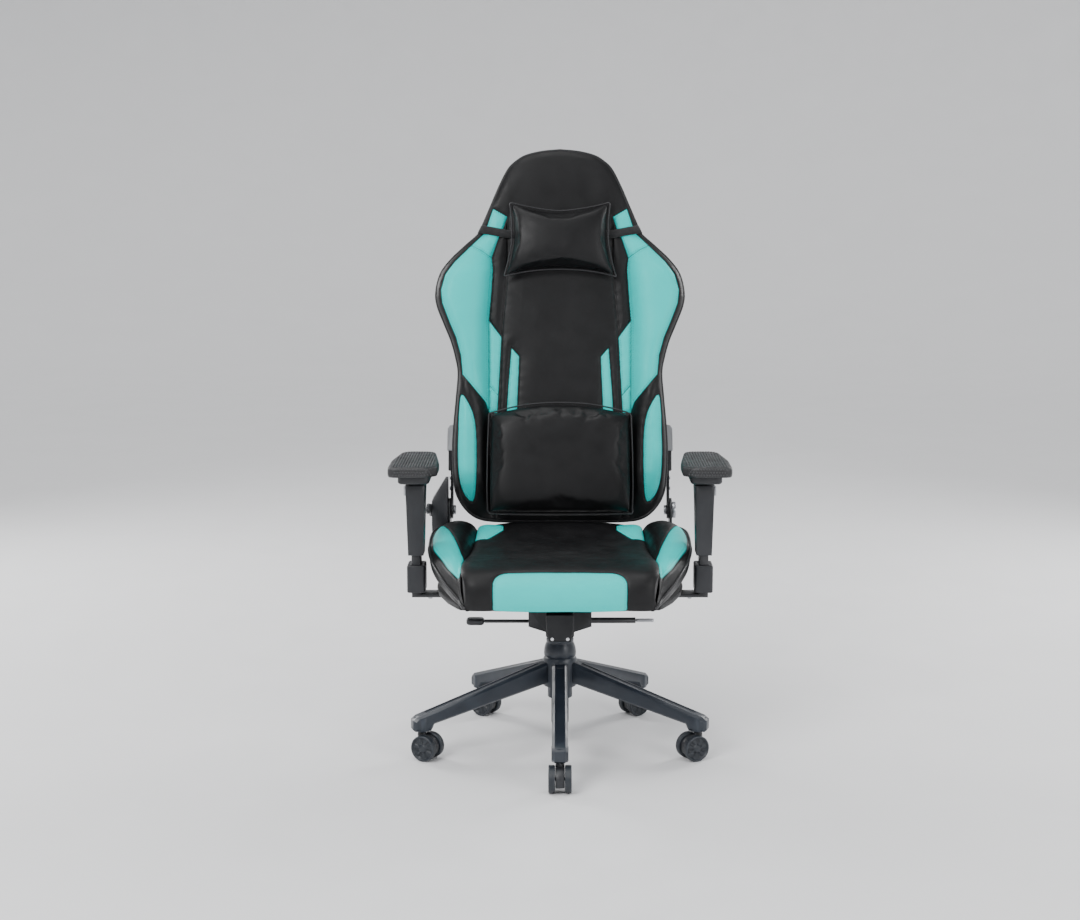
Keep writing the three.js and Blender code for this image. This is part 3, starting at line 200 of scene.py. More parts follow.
def moulded(name, base, roughness=0.42, texture=0.30, worn=(0.045, 0.048, 0.055, 1)):
    """Moulded nylon with a fine spark-eroded skin, rubbed a little lighter along its edges."""
    graph = Graph(name)
    wear = graph.ramp(graph.edges(), 0.52, 0.62, 0.0, 0.7)
    mottle = graph.ramp(graph.noise(22.0), 0.4, 0.8, 0.0, 0.18)
    colour = graph.mixed(graph.maths("MAXIMUM", wear, mottle), base, worn)
    graph.bumped([(graph.noise(1100.0, 3.0), 1.0), (graph.noise(60.0, 2.0), 0.4)], texture, 0.0003)
    gloss = graph.ramp(graph.noise(35.0, 4.0), 0.3, 0.7, roughness - 0.05, roughness + 0.08)
    return graph.finish(Base_Color=colour, Roughness=gloss, Specular_IOR_Level=0.5)


def coated(name, base, roughness=0.34):
    """Powder-coated steel with its orange-peel skin."""
    graph = Graph(name)
    wear = graph.ramp(graph.edges(), 0.53, 0.62, 0.0, 0.8)
    colour = graph.mixed(wear, base, (0.11, 0.11, 0.115, 1))
    graph.bumped([(graph.noise(420.0, 2.0), 1.0)], 0.22, 0.0004)
    gloss = graph.ramp(graph.noise(50.0, 3.0), 0.3, 0.7, roughness - 0.05, roughness + 0.08)
    return graph.finish(Base_Color=colour, Roughness=gloss, Metallic=0.35)


def metal(name, base, roughness):
    """Bare metal with faint drawing lines and a few scuffs."""
    graph = Graph(name)
    scuffs = graph.ramp(graph.noise(90.0, 6.0), 0.55, 0.8, 0.0, 0.35)
    colour = graph.mixed(scuffs, base, (0.20, 0.20, 0.21, 1))
    graph.bumped([(graph.wave(700.0, "Z"), 0.5), (graph.noise(300.0, 3.0), 0.5)], 0.12, 0.0002)
    gloss = graph.ramp(graph.noise(120.0, 4.0), 0.3, 0.7, roughness * 0.8, roughness * 1.3)
    return graph.finish(Base_Color=colour, Roughness=gloss, Metallic=1.0)


def woven(name, base, light, threads):
    """Plain weave: warp and weft ribs crossing."""
    graph = Graph(name)
    warp = graph.wave(threads, "X")
    weft = graph.wave(threads, "Y")
    rise = graph.wave(threads, "Z")
    cloth = graph.maths("MULTIPLY", graph.maths("MAXIMUM", warp, weft), rise)
    fuzz = graph.ramp(graph.noise(700.0), 0.35, 0.7, 0.0, 0.6)
    colour = graph.mixed(graph.maths("MULTIPLY", cloth, fuzz), base, light)
    graph.bumped([(cloth, 0.8), (graph.noise(900.0), 0.5)], 0.5, 0.0006)
    gloss = graph.ramp(graph.noise(80.0), 0.3, 0.7, 0.78, 0.95)
    return graph.finish(Base_Color=colour, Roughness=gloss, Sheen_Weight=0.2)


def soft_touch(name):
    graph = Graph(name)
    wear = graph.ramp(graph.edges(), 0.52, 0.60, 0.0, 0.8)
    colour = graph.mixed(wear, (0.014, 0.0145, 0.016, 1), (0.065, 0.066, 0.07, 1))
    graph.bumped([(graph.cells(900.0), 0.5), (graph.noise(600.0), 0.6)], 0.35, 0.0003)
    gloss = graph.ramp(graph.noise(50.0), 0.3, 0.7, 0.42, 0.58)
    return graph.finish(Base_Color=colour, Roughness=gloss)


def floor_finish():
    graph = Graph("floor_paint")
    colour = graph.mixed(graph.noise(3.0), FLOOR, (0.80, 0.80, 0.81, 1))
    graph.bumped([(graph.noise(90.0), 1.0)], 0.05, 0.001)
    gloss = graph.ramp(graph.noise(8.0), 0.3, 0.7, 0.55, 0.7)
    return graph.finish(Base_Color=colour, Roughness=gloss)


SEWN = leather("sewn_leather", BLACK, BLACK_WORN, seams=True, two_tone=True)
PLAIN_LEATHER = leather("pillow_leather", BLACK, BLACK_WORN, 0.43)
PIPING_LEATHER = leather("piping_leather", PIPING, (0.045, 0.045, 0.048, 1), 0.36)
NYLON_MAT = moulded("black_nylon", NYLON)
BASE_MAT = moulded("satin_base", BASE_NYLON, 0.33, 0.16, (0.055, 0.070, 0.090, 1))
WHEEL_MAT = moulded("wheel_nylon", (0.012, 0.016, 0.022, 1), 0.40, 0.20, (0.06, 0.07, 0.085, 1))
PAINT_MAT = coated("black_paint", PAINT)
STEEL_MAT = metal("zinc_steel", STEEL, 0.34)
CHROME_MAT = metal("bright_plate", CHROME, 0.14)
WEBBING_MAT = woven("strap_webbing", (0.008, 0.008, 0.009, 1), (0.03, 0.03, 0.032, 1), 260.0)
CLOTH_MAT = woven("base_cloth", (0.007, 0.007, 0.008, 1), (0.022, 0.022, 0.024, 1), 180.0)
PAD_MAT = soft_touch("soft_pad")
GREY_MAT = moulded("plate_padding", GREY_PADDING, 0.5, 0.35, (0.42, 0.43, 0.45, 1))


# ---------------------------------------------
# Mesh helpers
# ---------------------------------------------

def make(name, points, faces, material, body, slot, nodes=(), smooth=True, fields=None, weld=None):
    """A mesh piece from points in row-frame metres. It rides on its body at once."""
    mesh = bpy.data.meshes.new(name)
    mesh.from_pydata([tuple(p) for p in points], [], [list(map(int, f)) for f in faces])
    for key, values in (fields or {}).items():
        attribute = mesh.attributes.new(key, "FLOAT", "POINT")
        attribute.data.foreach_set("value", np.asarray(values, np.float32))
    edit = bmesh.new()
    edit.from_mesh(mesh)
    if weld:
        bmesh.ops.remove_doubles(edit, verts=edit.verts, dist=weld)
    bmesh.ops.recalc_face_normals(edit, faces=edit.faces)
    edit.to_mesh(mesh)
    edit.free()
    for polygon in mesh.polygons:
        polygon.use_smooth = smooth
    mesh.materials.append(material)
    piece = bpy.data.objects.new(name, mesh)
    bpy.context.scene.collection.objects.link(piece)
    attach(piece, body)
    if nodes:
        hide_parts(*nodes)
    return piece


def row_frame(points):
    """Column-centred millimetres to row-frame metres."""
    points = np.asarray(points, float)
    return (points + np.array([0.0, COLUMN_Y, 0.0])) * MM


def grid(rows, columns, wrap=True):
    """Quads of a grid of points listed row by row; wrap joins each row's end to its start."""
    r, c = np.meshgrid(np.arange(rows - 1), np.arange(columns if wrap else columns - 1), indexing="ij")
    after = (c + 1) % columns
    here, above = r * columns, (r + 1) * columns
    return np.stack([here + c, here + after, above + after, above + c], -1).reshape(-1, 4).tolist()


def closed_rings(rings):
    """Points and faces of a closed body through rings, with a flat cap at each end."""
    rings = np.asarray(rings, float)
    count, size = rings.shape[:2]
    faces = grid(count, size)
    faces.append(list(range(size))[::-1])
    faces.append([(count - 1) * size + i for i in range(size)])
    return rings.reshape(-1, 3), faces


def loft(name, rings, *args, **kwargs):
    return make(name, *closed_rings(rings), *args, **kwargs)


def curve(points, count, closed=False):
    """A smooth curve through the points, resampled to even steps."""
    points = np.asarray(points, float)
    if closed:
        padded = np.vstack([points[-1], points, points[0], points[1]])
    else:
        padded = np.vstack([2 * points[0] - points[1], points, 2 * points[-1] - points[-2]])
    dense = []
    for i in range(1, len(padded) - 2):
        a, b, c, d = padded[i - 1:i + 3]
        t = np.linspace(0, 1, 24, endpoint=False)[:, None]
        dense.append(0.5 * (2 * b + (c - a) * t + (2 * a - 5 * b + 4 * c - d) * t ** 2
                            + (3 * b - a - 3 * c + d) * t ** 3))
    dense.append(padded[-2][None])
    return even(np.vstack(dense), count, closed)


def even(points, count, closed=False):
    steps = np.r_[0, np.cumsum(np.linalg.norm(np.diff(points, axis=0), axis=1))]
    wanted = np.linspace(0, steps[-1], count + 1)[:-1] if closed else np.linspace(0, steps[-1], count)
    return np.stack([np.interp(wanted, steps, points[:, k]) for k in range(points.shape[1])], -1)


def tube_rings(path, radius, segments=12, closed=False):
    """Rings of a round tube along a path, its frame carried along without twist."""
    path = np.asarray(path, float)
    if closed:
        tangents = np.roll(path, -1, 0) - np.roll(path, 1, 0)
    else:
        tangents = np.gradient(path, axis=0)
    tangents /= np.linalg.norm(tangents, axis=1)[:, None]
    side = np.cross(tangents[0], [0.0, 0.0, 1.0])
    if np.linalg.norm(side) < 0.1:
        side = np.cross(tangents[0], [1.0, 0.0, 0.0])
    radius = np.broadcast_to(radius, len(path))
    angles = np.linspace(0, 2 * math.pi, segments, endpoint=False)
    rings = []
    for point, tangent, r in zip(path, tangents, radius):
        side = side - tangent * side.dot(tangent)
        side /= np.linalg.norm(side)
        up = np.cross(tangent, side)
        rings.append(point + r * (np.cos(angles)[:, None] * side + np.sin(angles)[:, None] * up))
    return np.array(rings)


def tube(name, path, radius, material, body, slot, closed=False, segments=12, nodes=()):
    rings = tube_rings(path, radius, segments, closed)
    if not closed:
        return loft(name, rings, material, body, slot, nodes)
    rings = np.concatenate([rings, rings[:1]])
    faces = grid(len(rings), segments)
    return make(name, rings.reshape(-1, 3), faces, material, body, slot, nodes, weld=1e-6)


def turned(profile, segments=64):
    """Points and faces of a profile of [radius, height] turned about Z, in millimetres."""
    profile = np.asarray(profile, float)
    angles = np.linspace(0, 2 * math.pi, segments, endpoint=False)
    ring = np.stack([np.cos(angles), np.sin(angles), np.zeros(segments)], -1)
    points = [ring * r + np.array([0, 0, z]) for r, z in profile]
    faces = grid(len(profile), segments)
    return np.vstack(points), faces


def join(parts):
    """Points and faces of several bodies as one."""
    points, faces, start = [], [], 0
    for some_points, some_faces in parts:
        points.append(np.asarray(some_points, float))
        faces += [[start + i for i in face] for face in some_faces]
        start += len(some_points)
    return np.vstack(points), faces


def ease(value, low, high):
    t = np.clip((np.asarray(value, float) - low) / (high - low), 0, 1)
    return t * t * (3 - 2 * t)


def line_distance(points, line):
    """Distance from each 2-D point to a polyline, and how far along it the nearest place is."""
    best = np.full(len(points), 1e9)
    along = np.zeros(len(points))
    start = 0.0
    for a, b in zip(line[:-1], line[1:]):
        a, b = np.asarray(a, float), np.asarray(b, float)
        step = b - a
        length = float(np.hypot(*step))
        t = np.clip(((points - a) @ step) / length ** 2, 0, 1)
        distance = np.hypot(*(points - a - t[:, None] * step).T)
        nearer = distance < best
        best = np.where(nearer, distance, best)
        along = np.where(nearer, start + t * length, along)
        start += length
    return best, along


def inside(points, polygon):
    """Which 2-D points are inside the polygon."""
    x, y = points.T
    result = np.zeros(len(points), bool)
    for (x0, y0), (x1, y1) in zip(polygon, np.roll(polygon, -1, 0)):
        crosses = (y0 > y) != (y1 > y)
        height = y1 - y0 if y1 != y0 else 1e-9
        result ^= crosses & (x < (x1 - x0) * (y - y0) / height + x0)
    return result


def patch_field(points, polygons):
    """Signed distance to the edge of the nearest patch, positive inside, and the distance alone."""
    signed = np.full(len(points), -1e3)
    along = np.zeros(len(points))
    nearest = np.full(len(points), 1e3)
    for polygon in polygons:
        polygon = np.asarray(polygon, float)
        distance, way = line_distance(points, np.vstack([polygon, polygon[:1]]))
        signed = np.maximum(signed, np.where(inside(points, polygon), distance, -distance))
        along = np.where(distance < nearest, way, along)
        nearest = np.minimum(nearest, distance)
    return signed, nearest, along


def seam_field(points, lines, patches):
    """Fields of a sewn cover: distance to the nearest seam, the way along it, and the patches."""
    signed, nearest, along = patch_field(points, patches)
    for line in lines:
        distance, way = line_distance(points, line)
        along = np.where(distance < nearest, way, along)
        nearest = np.minimum(nearest, distance)
    return {"teal": signed, "seam": np.minimum(nearest, 40.0), "along": along}


def seam_puff(distance, lift, reach, dip, width):
    """A padded panel's height by the distance from its seam: a rise, and a dip where it is sewn."""
    return lift * (1 - np.exp(-distance / reach)) - dip * np.exp(-(distance / width) ** 2)


def ripple(points, scale, seed):
    """Smooth noise between -1 and 1 at points in millimetres."""
    offset = Vector((seed * 17.3, seed * 5.1, seed * 9.7))
    return np.array([noise.noise(Vector(p) / scale + offset) for p in points])


# ---------------------------------------------
# The backrest's own frame: x, s up its front face, n forwards from it
# ---------------------------------------------

LEAN = math.radians(12)
UP = np.array([0.0, math.sin(LEAN), math.cos(LEAN)])
OUT = np.array([0.0, -math.cos(LEAN), math.sin(LEAN)])
RECLINE_S = 28.0  # the recline joint in this frame
RECLINE_N = -38.0
RECLINE = next(joint for joint in frame["joints"] if joint["name"] == "recline")
FOOT = np.array([0.0, *RECLINE["pos_m"][1:]]) / MM - UP * RECLINE_S - OUT * RECLINE_N


def back_frame_points(x, s, n):
    """Places in the backrest's frame, in millimetres, to row-frame metres."""
    x, s, n = np.broadcast_arrays(np.asarray(x, float), np.asarray(s, float), np.asarray(n, float))
    across = np.stack([x, np.zeros_like(x), np.zeros_like(x)], -1)
    return (FOOT + across + s[..., None] * UP + n[..., None] * OUT) * MM


BACK_EDGE = [
    (0, 1), (80, 1), (148, 2), (188, 9), (216, 30), (235, 62), (241, 97), (244, 154), (242, 212),
    (236, 283), (232, 341), (238, 378), (249, 417), (265, 456), (281, 498), (284, 530), (274, 570),
    (251, 603), (217, 637), (188, 664), (179, 683), (159, 730), (139, 777), (119, 816), (100, 835),
    (78, 848), (42, 857), (0, 861),
]
BACK_MIDDLE = (0.0, 430.0)
BACK_DEPTH = 78.0
BACK_SPINE = (70.0, 765.0)
WING_HEIGHT = 42.0
WING_SEAM = [
    (158, 8), (162, 150), (163, 276), (164, 464), (160, 510), (155, 581), (158, 609), (144, 651),
    (132, 675), (122, 705),
]
CENTRE_SEAM = [(142, 8), (141, 150), (139, 270), (134, 445), (125, 544), (120, 620), (122, 705)]
WING_PATCH = [
    (155, 724), (122, 705), (132, 675), (144, 651), (158, 609), (155, 581), (160, 510), (164, 464),
    (135, 425), (144, 250), (163, 250), (171, 274), (186, 292), (223, 336), (227, 380), (238, 420),
    (254, 458), (270, 500), (273, 530), (263, 566), (241, 598), (208, 634), (178, 664), (169, 683),
]
STRIPE_PATCH = [(112, 401), (94, 380), (98, 283), (99, 240), (123, 240), (121, 281)]
HIP_PATCH = [
    (226, 290), (231, 250), (232, 212), (233, 154), (230, 100), (221, 66), (206, 47), (196, 52),
    (191, 100), (191, 190), (197, 240), (211, 273),
]
WING_TOP_SEAM = [(212, 641), (184, 626), (158, 609)]
DIAMOND_SEAM = [(163, 314), (144, 292)]
# Rings down the back's side: outward bulge, n, and how far each follows the front piping.
BACK_WALL = [
    (0.0, -5.0, 0.4), (1.4, -14.0, 0.0), (2.6, -30.0, 0.0), (2.6, -52.0, 0.0), (1.2, -66.0, 0.0),
    (-1.6, -73.5, 0.0), (-5.0, -77.0, 0.0),
]
REAR_SEAMS = [
    [(120, 0), (122, 300), (112, 560), (84, 720), (62, 862)],
    [(0, 560), (112, 560), (300, 600)],
]


def back_outline(count):
    """The outline all round, from the foot's middle up the +X side and down the other."""
    half = curve(BACK_EDGE, count + 1)
    other = half[1:-1][::-1] * np.array([-1.0, 1.0])
    return np.vstack([half, other])


def outwards(outline):
    """Unit directions from the back's middle to the points of its outline."""
    away = outline - np.array(BACK_MIDDLE)
    return away / np.linalg.norm(away, axis=1)[:, None]


def wing_share(s):
    """How much of the wing's height there is at each level."""
    return ease(s, 12, 120) * (1 - ease(s, 560, 668))


def edge_height(s):
    """How far forward the front piping runs."""
    return -7 + 15 * wing_share(s)


def front_height(x, s, edge_distance):
    """The upholstered front before its seams are drawn in."""
    seam_s = [s0 for _, s0 in WING_SEAM]
    seam_x = [x0 for x0, _ in WING_SEAM]
    outward = np.abs(x) - np.interp(s, seam_s, seam_x)
    rise = 1 - np.exp(-np.maximum(outward, 0) / 20)
    wing = (WING_HEIGHT + 2) * rise * wing_share(s)
    belly = 3.5 * np.exp(-((s - 800) / 60) ** 2)
    roll = np.sqrt(1 - (1 - np.clip(edge_distance / 36, 0, 1)) ** 2)
    low = edge_height(s)
    return low + (wing + belly - low) * roll


def back_upholstery():
    outline = back_outline(380)
    spine = np.stack([np.zeros(len(outline)), np.clip(outline[:, 1], *BACK_SPINE)], -1)
    shares = 1 - (1 - np.linspace(0, 1, 124)) ** 1.15
    coarse = back_outline(60)
    ring = np.vstack([coarse, coarse[:1]])

    front = np.array([spine + t * (outline - spine) for t in shares])
    flat = front.reshape(-1, 2)
    edge_distance, _ = line_distance(flat, ring)
    mirrored = np.stack([np.abs(flat[:, 0]), flat[:, 1]], -1)
    fields = seam_field(
        mirrored, [WING_SEAM, CENTRE_SEAM, WING_TOP_SEAM, DIAMOND_SEAM],
        [WING_PATCH, STRIPE_PATCH, curve(HIP_PATCH, 60, True)],
    )
    n = front_height(flat[:, 0], flat[:, 1], edge_distance)
    fade = ease(edge_distance, 2, 14)
    panel_puff = seam_puff(fields["seam"], 4.5, 16, 2.4, 2.3)
    soft = 1.3 * ripple(np.stack([flat[:, 0], flat[:, 1], n], -1), 55, 1)
    pucker = 0.5 * np.exp(-fields["seam"] / 9) * np.sin(fields["along"] / 3.6)
    n = n + fade * (panel_puff + soft + pucker) - 3.0 * fade
    rows = [np.column_stack([flat, n])]

    outward = outwards(outline)
    front_low = edge_height(outline[:, 1])
    for bulge, depth, share in BACK_WALL:
        level = depth + share * (front_low + 7)
        rows.append(np.column_stack([outline + bulge * outward, np.broadcast_to(level, len(outline))]))

    rear_shares = (1 - np.linspace(0, 1, 50) ** 1.3)[1:]
    inner = outline - 5.0 * outward
    rear = np.array([spine + t * (inner - spine) for t in rear_shares]).reshape(-1, 2)
    rear_distance, _ = line_distance(rear, ring)
    rear_mirrored = np.stack([np.abs(rear[:, 0]), rear[:, 1]], -1)
    rear_fields = seam_field(rear_mirrored, REAR_SEAMS, [])
    crown = 5.0 * (1 - np.exp(-rear_distance / 22)) - 1.6 * np.exp(-(rear_fields["seam"] / 3.0) ** 2)
    rows.append(np.column_stack([rear, -BACK_DEPTH + 0.8 - crown * ease(rear_distance, 3, 16)]))

    points = np.vstack(rows)
    size = len(outline)
    wall_count = len(BACK_WALL) * size
    plain = {"teal": -50.0, "seam": 40.0, "along": 0.0}
    merged = {
        key: np.r_[fields[key], np.full(wall_count, plain[key]), rear_fields[key]] for key in plain
    }
    merged["teal"][len(flat):] = -50.0
    placed = back_frame_points(points[:, 0], points[:, 1], points[:, 2])
    piece = make(
        "back_upholstery", placed, grid(len(points) // size, size), SEWN, "backrest", "black_leather",
        ["back_shell", "back_cushion", "back_wing_left", "back_wing_right"], fields=merged, weld=4e-6,
    )


def back_piping():
    outline = back_outline(330)
    outward = outwards(outline)
    front = outline - 0.6 * outward
    path = back_frame_points(front[:, 0], front[:, 1], edge_height(outline[:, 1]) - 1.0)
    tube("back_piping_front", path, 4.3 * MM, PIPING_LEATHER, "backrest", "black_leather", True)
    rear = outline - 3.0 * outward
    path = back_frame_points(rear[:, 0], rear[:, 1], np.full(len(rear), -BACK_DEPTH + 3.5))
    tube("back_piping_rear", path, 3.0 * MM, PIPING_LEATHER, "backrest", "black_leather", True)


# ---------------------------------------------
# Pillows
# ---------------------------------------------

PUFF_FRAMES = 20
PUFF_PRESSURE = 4.0
PUFF_CAP = 7.0
PUFF_VOXEL = 5.0


def puffed(points, faces):
    """The body, in metres, inflated as a cloth bag, each point moved by at most the cap."""
    mesh = bpy.data.meshes.new("bag")
    mesh.from_pydata([tuple(p) for p in points], [], faces)
    bag = bpy.data.objects.new("bag", mesh)
    bpy.context.scene.collection.objects.link(bag)
    remesh = bag.modifiers.new("remesh", "REMESH")
    remesh.mode = "VOXEL"
    remesh.voxel_size = PUFF_VOXEL * MM
    start = evaluated(bag)
    bag.modifiers.clear()
    bag.data = start
    rest = coordinates(start)
    cloth = bag.modifiers.new("cloth", "CLOTH")
    cloth.settings.use_pressure = True
    cloth.settings.uniform_pressure_force = PUFF_PRESSURE
    cloth.settings.effector_weights.gravity = 0
    cloth.settings.tension_stiffness = 12
    cloth.settings.compression_stiffness = 12
    cloth.settings.bending_stiffness = 0.6
    cloth.settings.quality = 6
    cloth.point_cache.frame_end = PUFF_FRAMES
    for step in range(1, PUFF_FRAMES + 1):
        bpy.context.scene.frame_set(step)
    final = coordinates(evaluated(bag))
    bag.modifiers.clear()
    bpy.context.scene.frame_set(1)
    move = final - rest
    length = np.maximum(np.linalg.norm(move, axis=1), 1e-9)
    rest = rest + move * np.minimum(1, PUFF_CAP * MM / length)[:, None]
    quads = [list(p.vertices) for p in start.polygons]
    bpy.data.objects.remove(bag)
    return rest, quads


def evaluated(piece):
    graph = bpy.context.evaluated_depsgraph_get()
    return bpy.data.meshes.new_from_object(piece.evaluated_get(graph))


def coordinates(mesh):
    flat = np.zeros(len(mesh.vertices) * 3)
    mesh.vertices.foreach_get("co", flat)
    return flat.reshape(-1, 3)


def pillow_body(half_width, low, high, rear, front, middle, box=2.0, size=56):
    """A two-sided pillow over a square of u and v, its edges given by functions of u or v."""
    u, v = np.meshgrid(np.linspace(-1, 1, size), np.linspace(-1, 1, size), indexing="ij")
    s = low(u) + (high(u) - low(u)) * (v + 1) / 2
    x = u * half_width(v)
    fullness = np.maximum((1 - np.abs(u) ** box) * (1 - np.abs(v) ** box), 0) ** 0.42
    faces_front = grid(size, size, wrap=False)
    body = []
    for depth, order in ((front - middle, 1), (rear - middle, -1)):
        n = middle + depth * fullness
        points = np.column_stack([x.ravel(), s.ravel(), n.ravel()])
        body.append((points, [face[::order] for face in faces_front]))
    return join(body)


def softened(piece):
    modifier = piece.modifiers.new("round", "SUBSURF")
    modifier.levels = 1
    modifier.render_levels = 1


def pillow(name, node, points, faces, seam_path):
    placed = back_frame_points(points[:, 0], points[:, 1], points[:, 2])
    placed, faces = puffed(placed, faces)
    piece = make(name, placed, faces, PLAIN_LEATHER, "backrest", "black_leather", [node])
    softened(piece)
    seam = back_frame_points(seam_path[:, 0], seam_path[:, 1], seam_path[:, 2])
    tube(name + "_seam", seam, 1.8 * MM, PIPING_LEATHER, "backrest", "black_leather", True, 8)


def edge_loop(half_width, low, high, middle, inset, count=70):
    """The outline of an unpuffed pillow, pulled in by the inset in percent."""
    sides = []
    for sign, edge in ((1, high), (-1, low)):
        way = sign * np.linspace(-1, 1, count)
        end = np.full(count, sign)
        upright = low(end) + (high(end) - low(end)) * (way + 1) / 2
        sides.append(np.column_stack([end * half_width(way), upright]))
        sides.append(np.column_stack([-way * half_width(end), edge(-way)]))
    loop = np.vstack(sides)
    centre = loop.mean(0)
    loop = centre + (loop - centre) * (1 - inset / 100.0)
    closed = curve(even(loop, 90, True), 260, True)
    return np.column_stack([closed, np.full(len(closed), middle)])


def head_pillow():
    def half_width(v):
        return np.interp(v, [-1, -0.62, -0.1, 0.5, 1], [131, 122, 113, 113, 118])

    def low(u):
        return 577 - 17 * np.abs(u) ** 2.2

    def high(u):
        return 715 + 20 * np.abs(u) ** 1.6

    points, faces = pillow_body(half_width, low, high, 5, 56, 26, 2.4)
    loop = edge_loop(half_width, low, high, 26, 2.0)
    pillow("head_pillow_cover", "head_pillow", points, faces, loop)


def lumbar_pillow():
    def half_width(v):
        return np.interp(v, [-1, -0.5, 0.2, 1], [166, 168, 167, 164])

    def low(u):
        return 14 + 3 * np.abs(u) ** 3

    def high(u):
        return 272 - 26 * np.abs(u) ** 2.2

    points, faces = pillow_body(half_width, low, high, 4, 64, 36, 5.0)
    loop = edge_loop(half_width, low, high, 34, 1.0)
    pillow("lumbar_pillow_cover", "lumbar_pillow", points, faces, loop)


STRAP_SAG = 34.0  # for each whole half-width in from the notch, on the front
STRAP_SECTION = [(-9, -0.6), (-8.4, 0.9), (0, 1.1), (8.4, 0.9), (9, -0.6), (8.4, -0.9), (-8.4, -0.9)]


def head_strap():
    """The elastic band round the neck of the back, which holds the head pillow."""
    half_width, front, rear, corner = 187.0, 2.6, -85.0, 6.0
    edge_x, edge_s = np.array([point for point in BACK_EDGE if 630 < point[1] < 740]).T
    corners = []
    for x, n, start in ((half_width, front, 0), (-half_width, front, 90), (-half_width, rear, 180),
                        (half_width, rear, 270)):
        cx = x - math.copysign(corner, x)
        cn = n - math.copysign(corner, n - (front + rear) / 2)
        for step in range(5):
            angle = math.radians(start + 22.5 * step)
            corners.append((cx + corner * math.cos(angle), cn + corner * math.sin(angle)))
    path = np.vstack([corners, corners[:1]])
    path = even(path, 220, True)
    rings = []
    for i, (x, n) in enumerate(path):
        ahead = path[(i + 1) % len(path)] - path[i - 1]
        outward = np.array([ahead[1], -ahead[0]]) / np.hypot(*ahead)
        sag = -STRAP_SAG * min(1 - abs(x) / half_width, 0.36) if n > front - 3 else 0
        middle = 676 + sag
        ring = []
        for w, o in STRAP_SECTION:
            narrowing = (np.interp(middle + w - sag, edge_s, edge_x) + 3.4) / half_width
            ring.append((x * narrowing + o * outward[0], middle + w, n + o * outward[1]))
        rings.append(ring)
    rings = np.array(rings + rings[:1])
    flat = rings.reshape(-1, 3)
    placed = back_frame_points(flat[:, 0], flat[:, 1], flat[:, 2])
    make("head_strap_band", placed, grid(len(rings), 7), WEBBING_MAT, "backrest", "webbing", ["head_strap"],
         weld=1e-6)


# ---------------------------------------------
# Seat
# ---------------------------------------------

SEAT_PATH = [
    (146, 374), (151, 400), (151, 458), (147, 475), (134, 482), (100, 474), (40, 462), (-20, 457),
    (-97, 457), (-160, 462), (-205, 466), (-248, 464), (-280, 454), (-296, 436), (-301, 414),
    (-298, 392), (-290, 375),
]
SEAT_SEAM = [(-300, 197), (-272, 206), (-240, 208), (-150, 208), (0, 194), (160, 186)]
FRONT_PATCH_HALF_WIDTH = 139.0
FRONT_PATCH_CORNER = 34.0
FRONT_PATCH_TOP = 456.0
ARROW_PATCH = [(200, 160), (178, 157), (128, 126), (128, 106), (162, 58), (200, 66)]


def seat_half_width(y):
    return np.interp(y, [p[0] for p in SEAT_SEAM], [p[1] for p in SEAT_SEAM])


def rounded_box(px, py, half_x, top, corner):
    """Signed distance to an upright panel with round top corners, positive inside."""
    qx = np.abs(px) - (half_x - corner)
    qy = py - (top - corner)
    outside = np.hypot(np.maximum(qx, 0), np.maximum(qy, 0)) + np.minimum(np.maximum(qx, qy), 0) - corner
    return -outside


